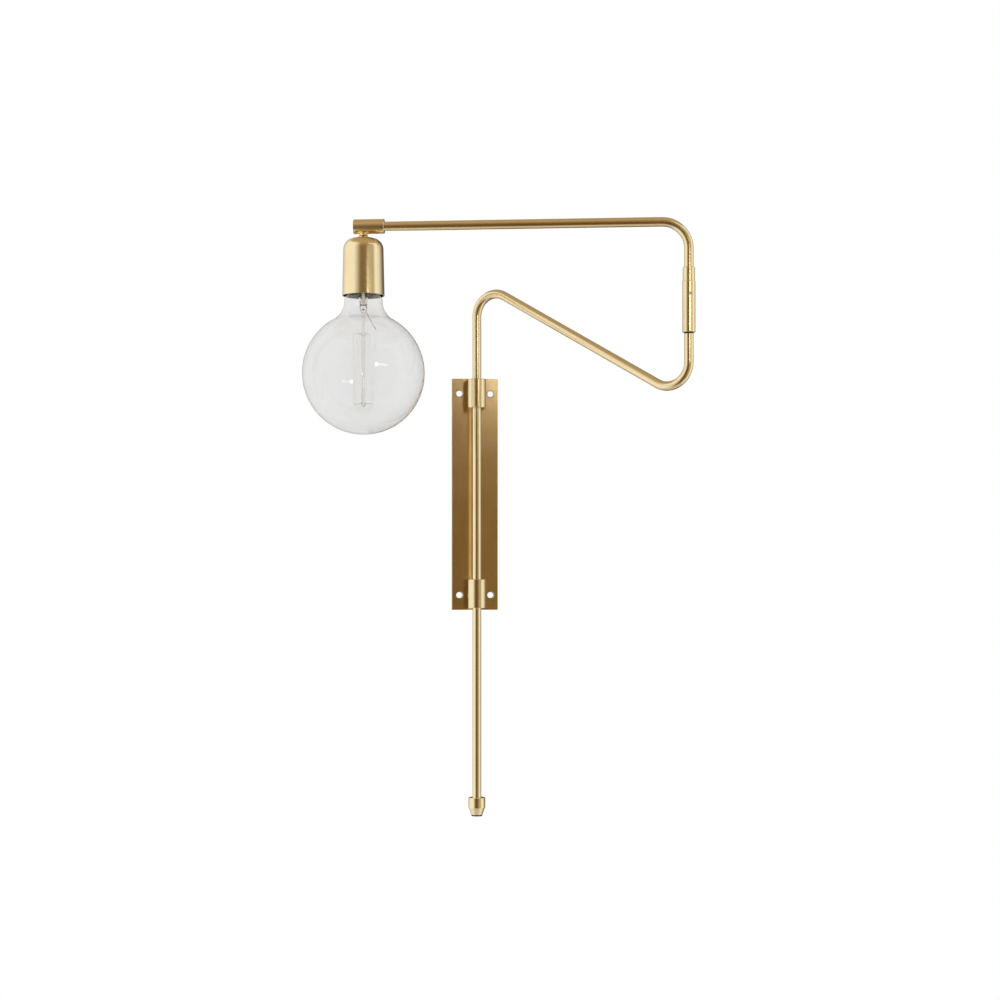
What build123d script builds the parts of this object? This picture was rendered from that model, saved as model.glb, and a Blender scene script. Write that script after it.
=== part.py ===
from build123d import *
import os
from math import acos, atan, atan2, cos, degrees, radians, sin, sqrt, tan

# Swing arm wall lamp. A flat wall plate carries two sleeves, and the lamp's post stands in
# both, so that it can swing and be slid up and down. The post bends over into a sloping lower
# arm, which turns up again to an elbow. The upper arm runs level from the elbow to the lamp
# head, which tilts about the end of the arm and holds a large globe bulb.
#
# Frame, in millimetres: the origin is the centre of the plate's back face, +X is to the right
# for someone facing the wall, +Y goes into the wall and +Z is up.

# Wall plate
PLATE_WIDTH = 50.0
PLATE_HEIGHT = 250.0
PLATE_THICKNESS = 3.0
PLATE_EDGE_RADIUS = 0.4
WALL_HOLE_DIAMETER = 6.5
WALL_HOLE_SINK_DIAMETER = 8.5
WALL_HOLE_SINK_ANGLE = 90.0
WALL_HOLE_FROM_SIDE = 8.0
WALL_HOLE_FROM_END = 16.0

# Sleeves that hold the post off the wall
POST_STANDOFF = 19.0
SLEEVE_HEIGHT = 31.0
SLEEVE_FROM_END = 2.0
SLEEVE_BORE = 12.0
SLEEVE_WALL = 3.8
SLEEVE_EDGE = 0.4

# Screws from behind the plate into the sleeves
SLEEVE_SCREW_DIAMETER = 4.0
SLEEVE_SCREW_HEAD_DIAMETER = 7.6
SLEEVE_SCREW_HEAD_ANGLE = 90.0
SLEEVE_SCREW_GRIP = 6.5
SLEEVE_SCREW_SPACING = 18.0
SLEEVE_SCREW_TIP_ROOM = 0.8

# Split bushes that turn in the sleeves and grip the post
BUSH_SLIT = 1.0
BUSH_GROOVE_WIDTH = 2.5
BUSH_GROOVE_DEPTH = 0.6
BUSH_END_ROOM = 0.3

# Grub screws, with a hexagon socket and a plain round tip
GRUB_DIAMETER = 3.0
GRUB_TIP_DIAMETER = 2.0
GRUB_SUNK = 0.3
GRUB_SOCKET = 1.5
GRUB_SOCKET_DEPTH = 0.7
GRUB_TIP_CLEARANCE = 0.2

# Arm tubes
TUBE_OUTER = 9.5
TUBE_WALL = 1.2

# Lower arm: how far the post can be slid, and the shape of the bent tube
LIFT_TRAVEL = 203.0
DROP_TRAVEL = 67.1
LOWER_ARM_HEADING = -38.0
LOWER_ARM_REACH = 248.0
LOWER_ARM_FALL = 142.5
TOP_BEND_RADIUS = 22.5
LOW_BEND_RADIUS = 23.0
ELBOW_UPRIGHT = 68.0

# Cord gland at the foot of the post
GLAND_SOCKET = 8.0
GLAND_BODY_DIAMETER = 18.3
GLAND_BODY_HEIGHT = 11.0
GLAND_BODY_ROUND = 1.0
GLAND_THREAD_DIAMETER = 12.0
GLAND_THREAD_LENGTH = 4.0
GLAND_NUT_TOP_DIAMETER = 17.4
GLAND_NUT_TIP_DIAMETER = 12.2
GLAND_NUT_HEIGHT = 7.5
GLAND_INSERT_DIAMETER = 11.8
GLAND_INSERT_LIP = 1.5
GLAND_INSERT_STEM_DIAMETER = 8.5
GLAND_INSERT_STEM = 3.0
CORD_HOLE_DIAMETER = 6.2

# Elbow: a hollow pin in the lower arm, with the upper arm's sleeve turning on it
PIN_GRIP = 20.0
PIN_DIAMETER = 8.0
PIN_BORE = 4.6
WASHER_DIAMETER = 9.4
WASHER_THICKNESS = 1.5
ELBOW_SLEEVE_DIAMETER = 13.2
ELBOW_SLEEVE_BORE = 10.0
ELBOW_SLEEVE_HEIGHT = 51.5
ELBOW_SLEEVE_ROUND = 0.5
ELBOW_BUSH_LENGTH = 14.0
ELBOW_BUSH_GAP = 6.0
RETAINING_RING_DIAMETER = 9.6
RETAINING_RING_THICKNESS = 1.0
RETAINING_RING_OPENING = 60.0
RETAINING_RING_GROOVE_DEPTH = 0.4
RETAINING_RING_SIDE_ROOM = 0.05
RETAINING_RING_ABOVE_BUSH = 0.3
STOP_GROOVE_ABOVE_RING = 2.1
STOP_GROOVE_WIDTH = 2.2
STOP_GROOVE_DEPTH = 1.0
STOP_TIP_DIAMETER = 1.5
PIN_END = 3.3
ELBOW_SWING = 158.0
COLLAR_DIAMETER = 12.3
COLLAR_HEIGHT = 14.0
COLLAR_SPIGOT = 6.0
COLLAR_FLOOR = 2.0
COLLAR_PASSAGE = 6.0
COLLAR_EDGE = 0.5

# Upper arm
UPPER_ARM_HEADING = 168.0
UPPER_ARM_REACH = 330.0
UPPER_ARM_RISE = 58.0
UPPER_BEND_RADIUS = 27.0
UPPER_ARM_SHORT_OF_HOLDER = 7.0

# Connector that carries the lamp head on the end of the upper arm
CONNECTOR_DIAMETER = 15.0
CONNECTOR_TO_ELBOW_SIDE = 21.5
CONNECTOR_TO_FAR_SIDE = 10.0
CONNECTOR_CAVITY = 7.0
CONNECTOR_EDGE = 0.3
CONNECTOR_CAP_LENGTH = 3.8
CONNECTOR_CAP_SPIGOT = 1.5
TUBE_END_ROOM = 0.3
TILT_GRUB_FROM_HOLDER = 15.0
TILT_GROOVE_WIDTH = 2.2
TILT_GROOVE_DEPTH = 0.5
HEAD_TILT = 90.0

# Neck between the connector and the holder cup
NIPPLE_DIAMETER = 6.4
NIPPLE_BORE = 4.4
NIPPLE_END_IN_CAVITY = 0.8
NECK_TOP_DIAMETER = 8.0
NECK_FOOT_DIAMETER = 14.0
NECK_FOOT_EDGE = 1.2

# Holder cup, a turned shell
CUP_BELOW_ARM = 12.2
CUP_HEIGHT = 58.3
CUP_SHOULDER_DIAMETER = 41.0
CUP_SHOULDER_RADIUS = 11.0
CUP_MOUTH_DIAMETER = 43.2
CUP_WALL = 0.9
LOCK_NUT_ACROSS_FLATS = 11.0
LOCK_NUT_HEIGHT = 3.0

# Lamp holder inside the cup
BODY_BELOW_CUP_TOP = 10.3
BODY_DIAMETER = 36.0
BODY_HEIGHT = 40.0
BODY_DISC_HEIGHT = 11.0
CONTACT_POCKET_DIAMETER = 16.0
CONTACT_POCKET_DEPTH = 4.5
NIPPLE_POCKET_DIAMETER = 9.0
NIPPLE_POCKET_DEPTH = 2.5
NIPPLE_INTO_POCKET = 2.0
BRIDGE_LENGTH = 30.0
BRIDGE_WIDTH = 12.0
BRIDGE_THICKNESS = 1.5
BRIDGE_SCREW_SPACING = 20.0
TERMINAL_SPACING = 24.0
SMALL_SCREW_DIAMETER = 3.0
SMALL_SCREW_GRIP = 6.0
SMALL_SCREW_HEAD_DIAMETER = 5.2
SMALL_SCREW_HEAD_HEIGHT = 1.8
SMALL_SCREW_SLOT = 0.8
SMALL_SCREW_SLOT_DEPTH = 0.9
SHELL_BORE = 26.9
SHELL_WALL = 0.6
SHELL_HEIGHT = 22.0
SHELL_FLANGE_BORE = 19.0
CONTACT_STRIP = 0.5
CONTACT_DROP = 2.2
CONTACT_WIDTH = 5.0
CONTACT_LEAF = 9.5
CONTACT_FOOT = 3.0

# Globe bulb with a screw cap, in heights above the globe's centre
GLOBE_DIAMETER = 125.0
GLASS_WALL = 0.8
GLASS_NECK_DIAMETER = 39.0
GLASS_NECK_FILLET = 22.0
GLASS_NECK_STRAIGHT = 0.4
GLASS_SHOULDER_RADIUS = 12.0
GLASS_SHOULDER_TO_CAP = 16.9
CAP_BOTTOM_HEIGHT = 91.0
CAP_DIAMETER = 26.2
CAP_WALL = 0.3
CAP_SKIRT = 5.0
CAP_SKIRT_ROOM = 0.4
CAP_RIDGE_COUNT = 4
CAP_RIDGE_PITCH = 3.6
CAP_RIDGE_DEPTH = 0.6
CAP_TOP_LAND = 1.6
INSULATOR_DIAMETER = 22.0
INSULATOR_TIP_DIAMETER = 10.0
INSULATOR_HEIGHT = 4.5
INSULATOR_PLUG = 2.0
TIP_DIAMETER = 9.0
TIP_HEIGHT = 1.5
TIP_TO_CONTACT = 0.3

# Glass stem, whose flare is sealed in the glass's top end
STEM_DIAMETER = 9.0
STEM_WALL = 1.0
STEM_FLARE_BELOW_TOP = 15.6
STEM_FLARE_ANGLE = 60.0
STEM_TUBE_LENGTH = 8.0
STEM_CLOSED_END = 3.0

# Press, rod and wires inside the globe, with the hubs' heights above the globe's centre
PRESS_HEIGHT = 9.0
PRESS_TAPER = 4.0
PRESS_WIDTH = 10.0
PRESS_THICKNESS = 3.6
ROD_DIAMETER = 3.4
HUB_DIAMETER = 6.0
HUB_LENGTH = 5.0
UPPER_HUB_HEIGHT = 40.0
LOWER_HUB_HEIGHT = -31.0
WIRE_DIAMETER = 0.7
LOWER_SUPPORT_COUNT = 6
SUPPORT_REACH = 10.0
SUPPORT_HOOK = 1.5
LEAD_START_SPREAD = 2.8
LEAD_STRAIGHT = 1.2
LEAD_DETOUR = 5.0
LEAD_SPREAD = 12.5
LEAD_END_HEIGHT = 45.0
LEAD_HOOK = 1.6
LEAD_ANGLE = 12.0
FILAMENT_DIAMETER = 0.3

# Fits: a gap on the radius for what turns or slides, and one for what is fixed
RUNNING_CLEARANCE = 0.05
FIXED_CLEARANCE = 0.02

# Places and directions that several pieces share
UP = Vector(0, 0, 1)


def heading(angle):
    """The level direction at this angle, counterclockwise from +X seen from above."""
    return Vector(cos(radians(angle)), sin(radians(angle)), 0)


def upright_section(foot, along):
    """A vertical plane whose x runs along a level direction and whose y is up."""
    return Plane(origin=foot, x_dir=along, z_dir=along.cross(UP))


tube_radius = TUBE_OUTER / 2
tube_bore_radius = tube_radius - TUBE_WALL
lower_direction = heading(LOWER_ARM_HEADING)
upper_direction = heading(UPPER_ARM_HEADING)
wall_side = heading(UPPER_ARM_HEADING - 90)
post_foot = Vector(0, -POST_STANDOFF, 0)
elbow_foot = post_foot + lower_direction * LOWER_ARM_REACH
head_foot = elbow_foot + upper_direction * UPPER_ARM_REACH
post_section = upright_section(post_foot, heading(0))
elbow_section = upright_section(elbow_foot, heading(0))
head_section = upright_section(head_foot, -upper_direction)
post_axis = Axis(post_foot, UP)
elbow_axis = Axis(elbow_foot, UP)
head_axis = Axis(head_foot, UP)

# Heights of the main pieces, from the sleeves up to the arm and down again to the bulb
sleeve_middle = PLATE_HEIGHT / 2 - SLEEVE_FROM_END - SLEEVE_HEIGHT / 2
sleeve_top = sleeve_middle + SLEEVE_HEIGHT / 2
gland_top = -sleeve_top - LIFT_TRAVEL
slope_turn = 90 + degrees(atan2(LOWER_ARM_FALL, LOWER_ARM_REACH))
top_corner = sleeve_top + DROP_TRAVEL + TOP_BEND_RADIUS * tan(radians(slope_turn / 2))
low_corner = top_corner - LOWER_ARM_FALL
elbow_bottom = low_corner + ELBOW_UPRIGHT
elbow_sleeve_bottom = elbow_bottom + WASHER_THICKNESS + RUNNING_CLEARANCE
elbow_sleeve_top = elbow_sleeve_bottom + ELBOW_SLEEVE_HEIGHT
upper_tube_bottom = elbow_sleeve_top + COLLAR_FLOOR
arm_level = upper_tube_bottom + UPPER_ARM_RISE
cup_top = arm_level - CUP_BELOW_ARM
body_top = cup_top - BODY_BELOW_CUP_TOP
disc_bottom = body_top - BODY_DISC_HEIGHT
contact_ceiling = disc_bottom + CONTACT_POCKET_DEPTH
contact_level = contact_ceiling - CONTACT_DROP
cap_threads = CAP_RIDGE_COUNT * CAP_RIDGE_PITCH
cap_top_height = CAP_BOTTOM_HEIGHT + CAP_SKIRT + cap_threads + CAP_TOP_LAND
tip_height = cap_top_height + INSULATOR_HEIGHT + TIP_HEIGHT
globe_level = contact_level - TIP_TO_CONTACT - tip_height


def turned(outline, section, axis, mode=Mode.ADD, arc=360.0):
    """Turn a closed outline of (radius, height) points about the axis, in the part being made."""
    with BuildSketch(section) as profile:
        with BuildLine():
            Polyline(*outline, close=True)
        make_face()
    revolve(profile.sketch, axis=axis, revolution_arc=arc, mode=mode)


def ring_outline(outer, inner, bottom, top):
    """The outline of a plain ring or disc, from its two radii and its two heights."""
    return [(inner, bottom), (outer, bottom), (outer, top), (inner, top)]


def bent_tube(section, corners, radii):
    """An arm tube along straight runs joined by bends, in the part being made."""
    with BuildLine(section) as path:
        FilletPolyline(*corners, radius=radii)
    with BuildSketch(path.line ^ 0) as profile:
        Circle(tube_radius)
        Circle(tube_bore_radius, mode=Mode.SUBTRACT)
    sweep(profile.sketch, path=path.line)


def grub_screw(face, wall, reach, tip_diameter):
    """A grub screw sunk in a wall, in the part being made.

    The plane lies on the wall's outer side and faces outwards. The tip ends at the distance
    called reach behind it.
    """
    with BuildSketch(face.offset(-GRUB_SUNK)) as body:
        Circle(GRUB_DIAMETER / 2)
    extrude(body.sketch, amount=GRUB_SUNK - wall)
    with BuildSketch(face.offset(-GRUB_SUNK)) as tip:
        Circle(tip_diameter / 2)
    extrude(tip.sketch, amount=GRUB_SUNK - reach)
    with BuildSketch(face.offset(-GRUB_SUNK)) as socket:
        RegularPolygon(GRUB_SOCKET / 2, 6, major_radius=False)
    extrude(socket.sketch, amount=-GRUB_SOCKET_DEPTH, mode=Mode.SUBTRACT)


def slotted_screws(places, head_seat):
    """Small slotted screws at places in the head's frame, with their heads on this height."""
    for x, y in places:
        foot = head_foot - upper_direction * x + wall_side * y
        section = upright_section(foot, -upper_direction)
        shank = ring_outline(SMALL_SCREW_DIAMETER / 2, 0, head_seat - SMALL_SCREW_GRIP, head_seat)
        head_radius = SMALL_SCREW_HEAD_DIAMETER / 2
        head_top = head_seat + SMALL_SCREW_HEAD_HEIGHT
        turned(shank, section, Axis(foot, UP))
        turned(ring_outline(head_radius, 0, head_seat, head_top), section, Axis(foot, UP))
        with BuildSketch(Plane(origin=foot + UP * head_top, x_dir=wall_side)) as slot:
            Rectangle(SMALL_SCREW_HEAD_DIAMETER, SMALL_SCREW_SLOT)
        extrude(slot.sketch, amount=-SMALL_SCREW_SLOT_DEPTH, mode=Mode.SUBTRACT)


def bent_wire(points, diameter):
    """A thin round wire through the points, with a ball at each corner, in the part being made."""
    for start, end in zip(points, points[1:]):
        with BuildSketch(Plane(origin=start, z_dir=end - start)) as section:
            Circle(diameter / 2)
        extrude(section.sketch, amount=(end - start).length)
    if len(points) > 2:
        with Locations(*points[1:-1]):
            Sphere(diameter / 2)


def save(piece, name):
    """Label a finished piece and write its file."""
    piece.part.label = name
    export_step(piece.part, f"parts/{name}.step")


os.makedirs("parts", exist_ok=True)

# Wall plate, with four countersunk holes for the wall screws and, from behind, the holes of
# the screws that hold the sleeves
wall_hole_grid = (PLATE_WIDTH - 2 * WALL_HOLE_FROM_SIDE, PLATE_HEIGHT - 2 * WALL_HOLE_FROM_END)
plate_front = Plane.XZ.offset(PLATE_THICKNESS)
plate_back = Plane(origin=(0, 0, 0), x_dir=(1, 0, 0), z_dir=(0, 1, 0))
screw_offsets = (-SLEEVE_SCREW_SPACING / 2, SLEEVE_SCREW_SPACING / 2)
screw_heights = [side * sleeve_middle + offset for side in (-1, 1) for offset in screw_offsets]

with BuildPart() as wall_plate:
    with BuildSketch(Plane.XZ):
        Rectangle(PLATE_WIDTH, PLATE_HEIGHT)
    extrude(amount=PLATE_THICKNESS)
    fillet(wall_plate.faces().sort_by(Axis.Y)[0].edges(), radius=PLATE_EDGE_RADIUS)
    with Locations(plate_front):
        with GridLocations(*wall_hole_grid, 2, 2):
            CounterSinkHole(
                WALL_HOLE_DIAMETER / 2,
                WALL_HOLE_SINK_DIAMETER / 2,
                PLATE_THICKNESS,
                WALL_HOLE_SINK_ANGLE,
            )
    with Locations(plate_back):
        with Locations(*[(0, height) for height in screw_heights]):
            CounterSinkHole(
                SLEEVE_SCREW_DIAMETER / 2 + FIXED_CLEARANCE,
                SLEEVE_SCREW_HEAD_DIAMETER / 2 + FIXED_CLEARANCE,
                PLATE_THICKNESS,
                SLEEVE_SCREW_HEAD_ANGLE,
            )
save(wall_plate, "wall_plate")

# Sleeves, round in front about the post, with flat flanks back to the plate
sleeve_radius = SLEEVE_BORE / 2 + SLEEVE_WALL
sleeve_depth = POST_STANDOFF - PLATE_THICKNESS
sleeve_heights = {"upper": sleeve_middle, "lower": -sleeve_middle}

for which, height in sleeve_heights.items():
    with BuildPart() as post_sleeve:
        with BuildSketch(Plane.XY.offset(height - SLEEVE_HEIGHT / 2)):
            with Locations((0, -PLATE_THICKNESS - sleeve_depth / 2)):
                Rectangle(2 * sleeve_radius, sleeve_depth)
            with Locations((0, -POST_STANDOFF)):
                Circle(sleeve_radius)
        extrude(amount=SLEEVE_HEIGHT)
        end_edges = post_sleeve.faces().filter_by(Axis.Z).edges()
        chamfer(end_edges.filter_by(Axis.X, reverse=True), length=SLEEVE_EDGE)
        with Locations((0, -POST_STANDOFF, height)):
            Hole(SLEEVE_BORE / 2)
        with Locations(Plane(origin=(0, -PLATE_THICKNESS, height), x_dir=(1, 0, 0), z_dir=(0, 1, 0))):
            with Locations(*[(0, offset) for offset in screw_offsets]):
                Hole(
                    SLEEVE_SCREW_DIAMETER / 2 + FIXED_CLEARANCE,
                    SLEEVE_SCREW_GRIP + SLEEVE_SCREW_TIP_ROOM,
                )
        with Locations(Plane(origin=(sleeve_radius, -POST_STANDOFF, height), z_dir=(1, 0, 0))):
            Hole(GRUB_DIAMETER / 2 + FIXED_CLEARANCE, sleeve_radius)
    save(post_sleeve, f"{which}_post_sleeve")

# Countersunk screws that hold the sleeves, put in from the plate's back
screw_radius = SLEEVE_SCREW_DIAMETER / 2
screw_head_radius = SLEEVE_SCREW_HEAD_DIAMETER / 2
screw_head_depth = (screw_head_radius - screw_radius) / tan(radians(SLEEVE_SCREW_HEAD_ANGLE / 2))
screw_tip = -PLATE_THICKNESS - SLEEVE_SCREW_GRIP

with BuildPart() as sleeve_screws:
    for height in screw_heights:
        turned(
            [
                (0, screw_tip),
                (screw_radius, screw_tip),
                (screw_radius, -screw_head_depth),
                (screw_head_radius, 0),
                (0, 0),
            ],
            Plane.XY.offset(height),
            Axis((0, 0, height), (0, 1, 0)),
        )
save(sleeve_screws, "sleeve_screws")

# Split bushes, with a groove for the tip of the screw that keeps each in its sleeve
bush_radius = SLEEVE_BORE / 2 - RUNNING_CLEARANCE
bush_groove_floor = bush_radius - BUSH_GROOVE_DEPTH
bush_length = SLEEVE_HEIGHT - 2 * BUSH_END_ROOM

for which, height in sleeve_heights.items():
    with BuildPart() as post_bush:
        with BuildSketch(Plane.XY.offset(height - bush_length / 2)):
            with Locations((0, -POST_STANDOFF)):
                Circle(bush_radius)
                Circle(tube_radius + RUNNING_CLEARANCE, mode=Mode.SUBTRACT)
            with Locations((0, -POST_STANDOFF + bush_radius / 2)):
                Rectangle(BUSH_SLIT, bush_radius, mode=Mode.SUBTRACT)
        extrude(amount=bush_length)
        groove_bottom = height - BUSH_GROOVE_WIDTH / 2
        groove_top = height + BUSH_GROOVE_WIDTH / 2
        groove = ring_outline(SLEEVE_BORE / 2, bush_groove_floor, groove_bottom, groove_top)
        turned(groove, post_section, post_axis, mode=Mode.SUBTRACT)
    save(post_bush, f"{which}_bush")

# Grub screws in the sleeves' right flanks, whose tips stand in the bushes' grooves
with BuildPart() as bush_retaining_screws:
    for height in sleeve_heights.values():
        grub_screw(
            Plane(origin=(sleeve_radius, -POST_STANDOFF, height), z_dir=(1, 0, 0)),
            SLEEVE_WALL,
            sleeve_radius - bush_groove_floor - GRUB_TIP_CLEARANCE,
            GRUB_TIP_DIAMETER,
        )
save(bush_retaining_screws, "bush_retaining_screws")

# Lower arm tube: up the post, over and down the slope, and up again to the elbow
with BuildPart() as lower_arm_tube:
    bent_tube(
        upright_section(post_foot, lower_direction),
        [
            (0, gland_top - GLAND_SOCKET),
            (0, top_corner),
            (LOWER_ARM_REACH, low_corner),
            (LOWER_ARM_REACH, elbow_bottom),
        ],
        [TOP_BEND_RADIUS, LOW_BEND_RADIUS],
    )
save(lower_arm_tube, "lower_arm_tube")

# Cord gland: a body on the post's foot, a cone-shaped nut under it, and a soft insert
gland_bottom = gland_top - GLAND_BODY_HEIGHT
gland_nut_bottom = gland_bottom - GLAND_NUT_HEIGHT
gland_body_radius = GLAND_BODY_DIAMETER / 2
gland_thread_radius = GLAND_THREAD_DIAMETER / 2
gland_socket_radius = tube_radius + FIXED_CLEARANCE
gland_thread_bottom = gland_bottom - GLAND_THREAD_LENGTH

with BuildPart() as gland_body:
    turned(
        [
            (tube_bore_radius, gland_top - GLAND_SOCKET),
            (tube_bore_radius, gland_thread_bottom),
            (gland_thread_radius, gland_thread_bottom),
            (gland_thread_radius, gland_bottom),
            (gland_body_radius, gland_bottom),
            (gland_body_radius, gland_top),
            (gland_socket_radius, gland_top),
            (gland_socket_radius, gland_top - GLAND_SOCKET),
        ],
        post_section,
        post_axis,
    )
    top_edges = gland_body.faces().filter_by(Axis.Z).sort_by(Axis.Z)[-1].edges()
    fillet(top_edges.sort_by(SortBy.LENGTH)[-1], radius=GLAND_BODY_ROUND)
save(gland_body, "gland_body")

with BuildPart() as gland_nut:
    thread_socket = gland_thread_radius + FIXED_CLEARANCE
    stem_socket = GLAND_INSERT_STEM_DIAMETER / 2 + FIXED_CLEARANCE
    thread_floor = gland_thread_bottom - FIXED_CLEARANCE
    turned(
        [
            (thread_socket, gland_bottom),
            (GLAND_NUT_TOP_DIAMETER / 2, gland_bottom),
            (GLAND_NUT_TIP_DIAMETER / 2, gland_nut_bottom),
            (stem_socket, gland_nut_bottom),
            (stem_socket, thread_floor),
            (thread_socket, thread_floor),
        ],
        post_section,
        post_axis,
    )
save(gland_nut, "gland_nut")

with BuildPart() as gland_insert:
    lip_bottom = gland_nut_bottom - GLAND_INSERT_LIP
    stem_top = gland_nut_bottom + GLAND_INSERT_STEM
    turned(
        [
            (CORD_HOLE_DIAMETER / 2, lip_bottom),
            (GLAND_INSERT_DIAMETER / 2, lip_bottom),
            (GLAND_INSERT_DIAMETER / 2, gland_nut_bottom),
            (GLAND_INSERT_STEM_DIAMETER / 2, gland_nut_bottom),
            (GLAND_INSERT_STEM_DIAMETER / 2, stem_top),
            (CORD_HOLE_DIAMETER / 2, stem_top),
        ],
        post_section,
        post_axis,
    )
save(gland_insert, "gland_insert")

# Heights along the elbow's pin
lower_elbow_bush_bottom = elbow_sleeve_bottom
upper_elbow_bush_bottom = lower_elbow_bush_bottom + ELBOW_BUSH_LENGTH + ELBOW_BUSH_GAP
upper_elbow_bush_top = upper_elbow_bush_bottom + ELBOW_BUSH_LENGTH
retaining_ring_bottom = upper_elbow_bush_top + RETAINING_RING_ABOVE_BUSH
retaining_ring_top = retaining_ring_bottom + RETAINING_RING_THICKNESS
stop_groove_bottom = retaining_ring_top + STOP_GROOVE_ABOVE_RING
stop_groove_top = stop_groove_bottom + STOP_GROOVE_WIDTH
stop_level = (stop_groove_bottom + stop_groove_top) / 2
pin_top = stop_groove_top + PIN_END
pin_radius = PIN_DIAMETER / 2
stop_groove_floor = pin_radius - STOP_GROOVE_DEPTH
stop_tip_end = stop_groove_floor + GRUB_TIP_CLEARANCE

# The stop screw faces the room when the arms are as drawn. The groove that its tip runs in has
# a rib, which it meets at the swing's limit on either side of the straight position.
stop_screw_heading = -90.0
rib_heading = stop_screw_heading + LOWER_ARM_HEADING - UPPER_ARM_HEADING + 180
rib_clearance_angle = degrees(RUNNING_CLEARANCE / stop_tip_end)
stop_tip_angle = degrees(atan(STOP_TIP_DIAMETER / 2 / stop_tip_end)) + rib_clearance_angle
rib_half_angle = 180 - ELBOW_SWING - stop_tip_angle

with BuildPart() as hinge_pin:
    grip_radius = tube_bore_radius - FIXED_CLEARANCE
    turned(
        [
            (PIN_BORE / 2, elbow_bottom - PIN_GRIP),
            (grip_radius, elbow_bottom - PIN_GRIP),
            (grip_radius, elbow_bottom),
            (pin_radius, elbow_bottom),
            (pin_radius, pin_top),
            (PIN_BORE / 2, pin_top),
        ],
        elbow_section,
        elbow_axis,
    )
    ring_groove = ring_outline(
        pin_radius + RUNNING_CLEARANCE,
        pin_radius - RETAINING_RING_GROOVE_DEPTH,
        retaining_ring_bottom - RETAINING_RING_SIDE_ROOM,
        retaining_ring_top + RETAINING_RING_SIDE_ROOM,
    )
    turned(ring_groove, elbow_section, elbow_axis, mode=Mode.SUBTRACT)
    stop_groove = ring_outline(
        pin_radius + RUNNING_CLEARANCE, stop_groove_floor, stop_groove_bottom, stop_groove_top
    )
    turned(
        stop_groove,
        upright_section(elbow_foot, heading(rib_heading + rib_half_angle)),
        elbow_axis,
        mode=Mode.SUBTRACT,
        arc=360 - 2 * rib_half_angle,
    )
save(hinge_pin, "hinge_pin")

with BuildPart() as thrust_washer:
    turned(
        ring_outline(
            WASHER_DIAMETER / 2,
            pin_radius + RUNNING_CLEARANCE,
            elbow_bottom,
            elbow_bottom + WASHER_THICKNESS,
        ),
        elbow_section,
        elbow_axis,
    )
save(thrust_washer, "thrust_washer")

with BuildPart() as hinge_retaining_ring:
    turned(
        ring_outline(
            RETAINING_RING_DIAMETER / 2,
            pin_radius - RETAINING_RING_GROOVE_DEPTH + FIXED_CLEARANCE,
            retaining_ring_bottom,
            retaining_ring_top,
        ),
        elbow_section,
        elbow_axis,
        arc=360 - RETAINING_RING_OPENING,
    )
save(hinge_retaining_ring, "hinge_retaining_ring")

# Elbow sleeve of the upper arm, its two bushes and its stop screw
elbow_sleeve_radius = ELBOW_SLEEVE_DIAMETER / 2
elbow_sleeve_wall = (ELBOW_SLEEVE_DIAMETER - ELBOW_SLEEVE_BORE) / 2
stop_screw_direction = heading(stop_screw_heading)
stop_screw_face = Plane(
    origin=elbow_foot + stop_screw_direction * elbow_sleeve_radius + UP * stop_level,
    z_dir=stop_screw_direction,
)

with BuildPart() as hinge_sleeve:
    turned(
        ring_outline(
            elbow_sleeve_radius, ELBOW_SLEEVE_BORE / 2, elbow_sleeve_bottom, elbow_sleeve_top
        ),
        elbow_section,
        elbow_axis,
    )
    outer_edges = hinge_sleeve.edges().filter_by(GeomType.CIRCLE).sort_by(SortBy.RADIUS)[-2:]
    fillet(outer_edges, radius=ELBOW_SLEEVE_ROUND)
    with Locations(stop_screw_face):
        Hole(GRUB_DIAMETER / 2 + FIXED_CLEARANCE, elbow_sleeve_radius)
save(hinge_sleeve, "hinge_sleeve")

elbow_bush_bottoms = {"lower": lower_elbow_bush_bottom, "upper": upper_elbow_bush_bottom}
for which, bottom in elbow_bush_bottoms.items():
    with BuildPart() as hinge_bush:
        turned(
            ring_outline(
                ELBOW_SLEEVE_BORE / 2 - FIXED_CLEARANCE,
                pin_radius + RUNNING_CLEARANCE,
                bottom,
                bottom + ELBOW_BUSH_LENGTH,
            ),
            elbow_section,
            elbow_axis,
        )
    save(hinge_bush, f"{which}_hinge_bush")

with BuildPart() as hinge_stop_screw:
    grub_screw(
        stop_screw_face,
        elbow_sleeve_wall,
        elbow_sleeve_radius - stop_tip_end,
        STOP_TIP_DIAMETER,
    )
save(hinge_stop_screw, "hinge_stop_screw")

# Collar that joins the upper arm's tube to the elbow sleeve
collar_top = elbow_sleeve_top + COLLAR_HEIGHT
spigot_radius = ELBOW_SLEEVE_BORE / 2 - FIXED_CLEARANCE

with BuildPart() as hinge_collar:
    turned(
        [
            (COLLAR_PASSAGE / 2, elbow_sleeve_top - COLLAR_SPIGOT),
            (spigot_radius, elbow_sleeve_top - COLLAR_SPIGOT),
            (spigot_radius, elbow_sleeve_top),
            (COLLAR_DIAMETER / 2, elbow_sleeve_top),
            (COLLAR_DIAMETER / 2, collar_top - COLLAR_EDGE),
            (COLLAR_DIAMETER / 2 - COLLAR_EDGE, collar_top),
            (tube_radius + FIXED_CLEARANCE, collar_top),
            (tube_radius + FIXED_CLEARANCE, upper_tube_bottom),
            (COLLAR_PASSAGE / 2, upper_tube_bottom),
        ],
        elbow_section,
        elbow_axis,
    )
save(hinge_collar, "hinge_collar")

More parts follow.
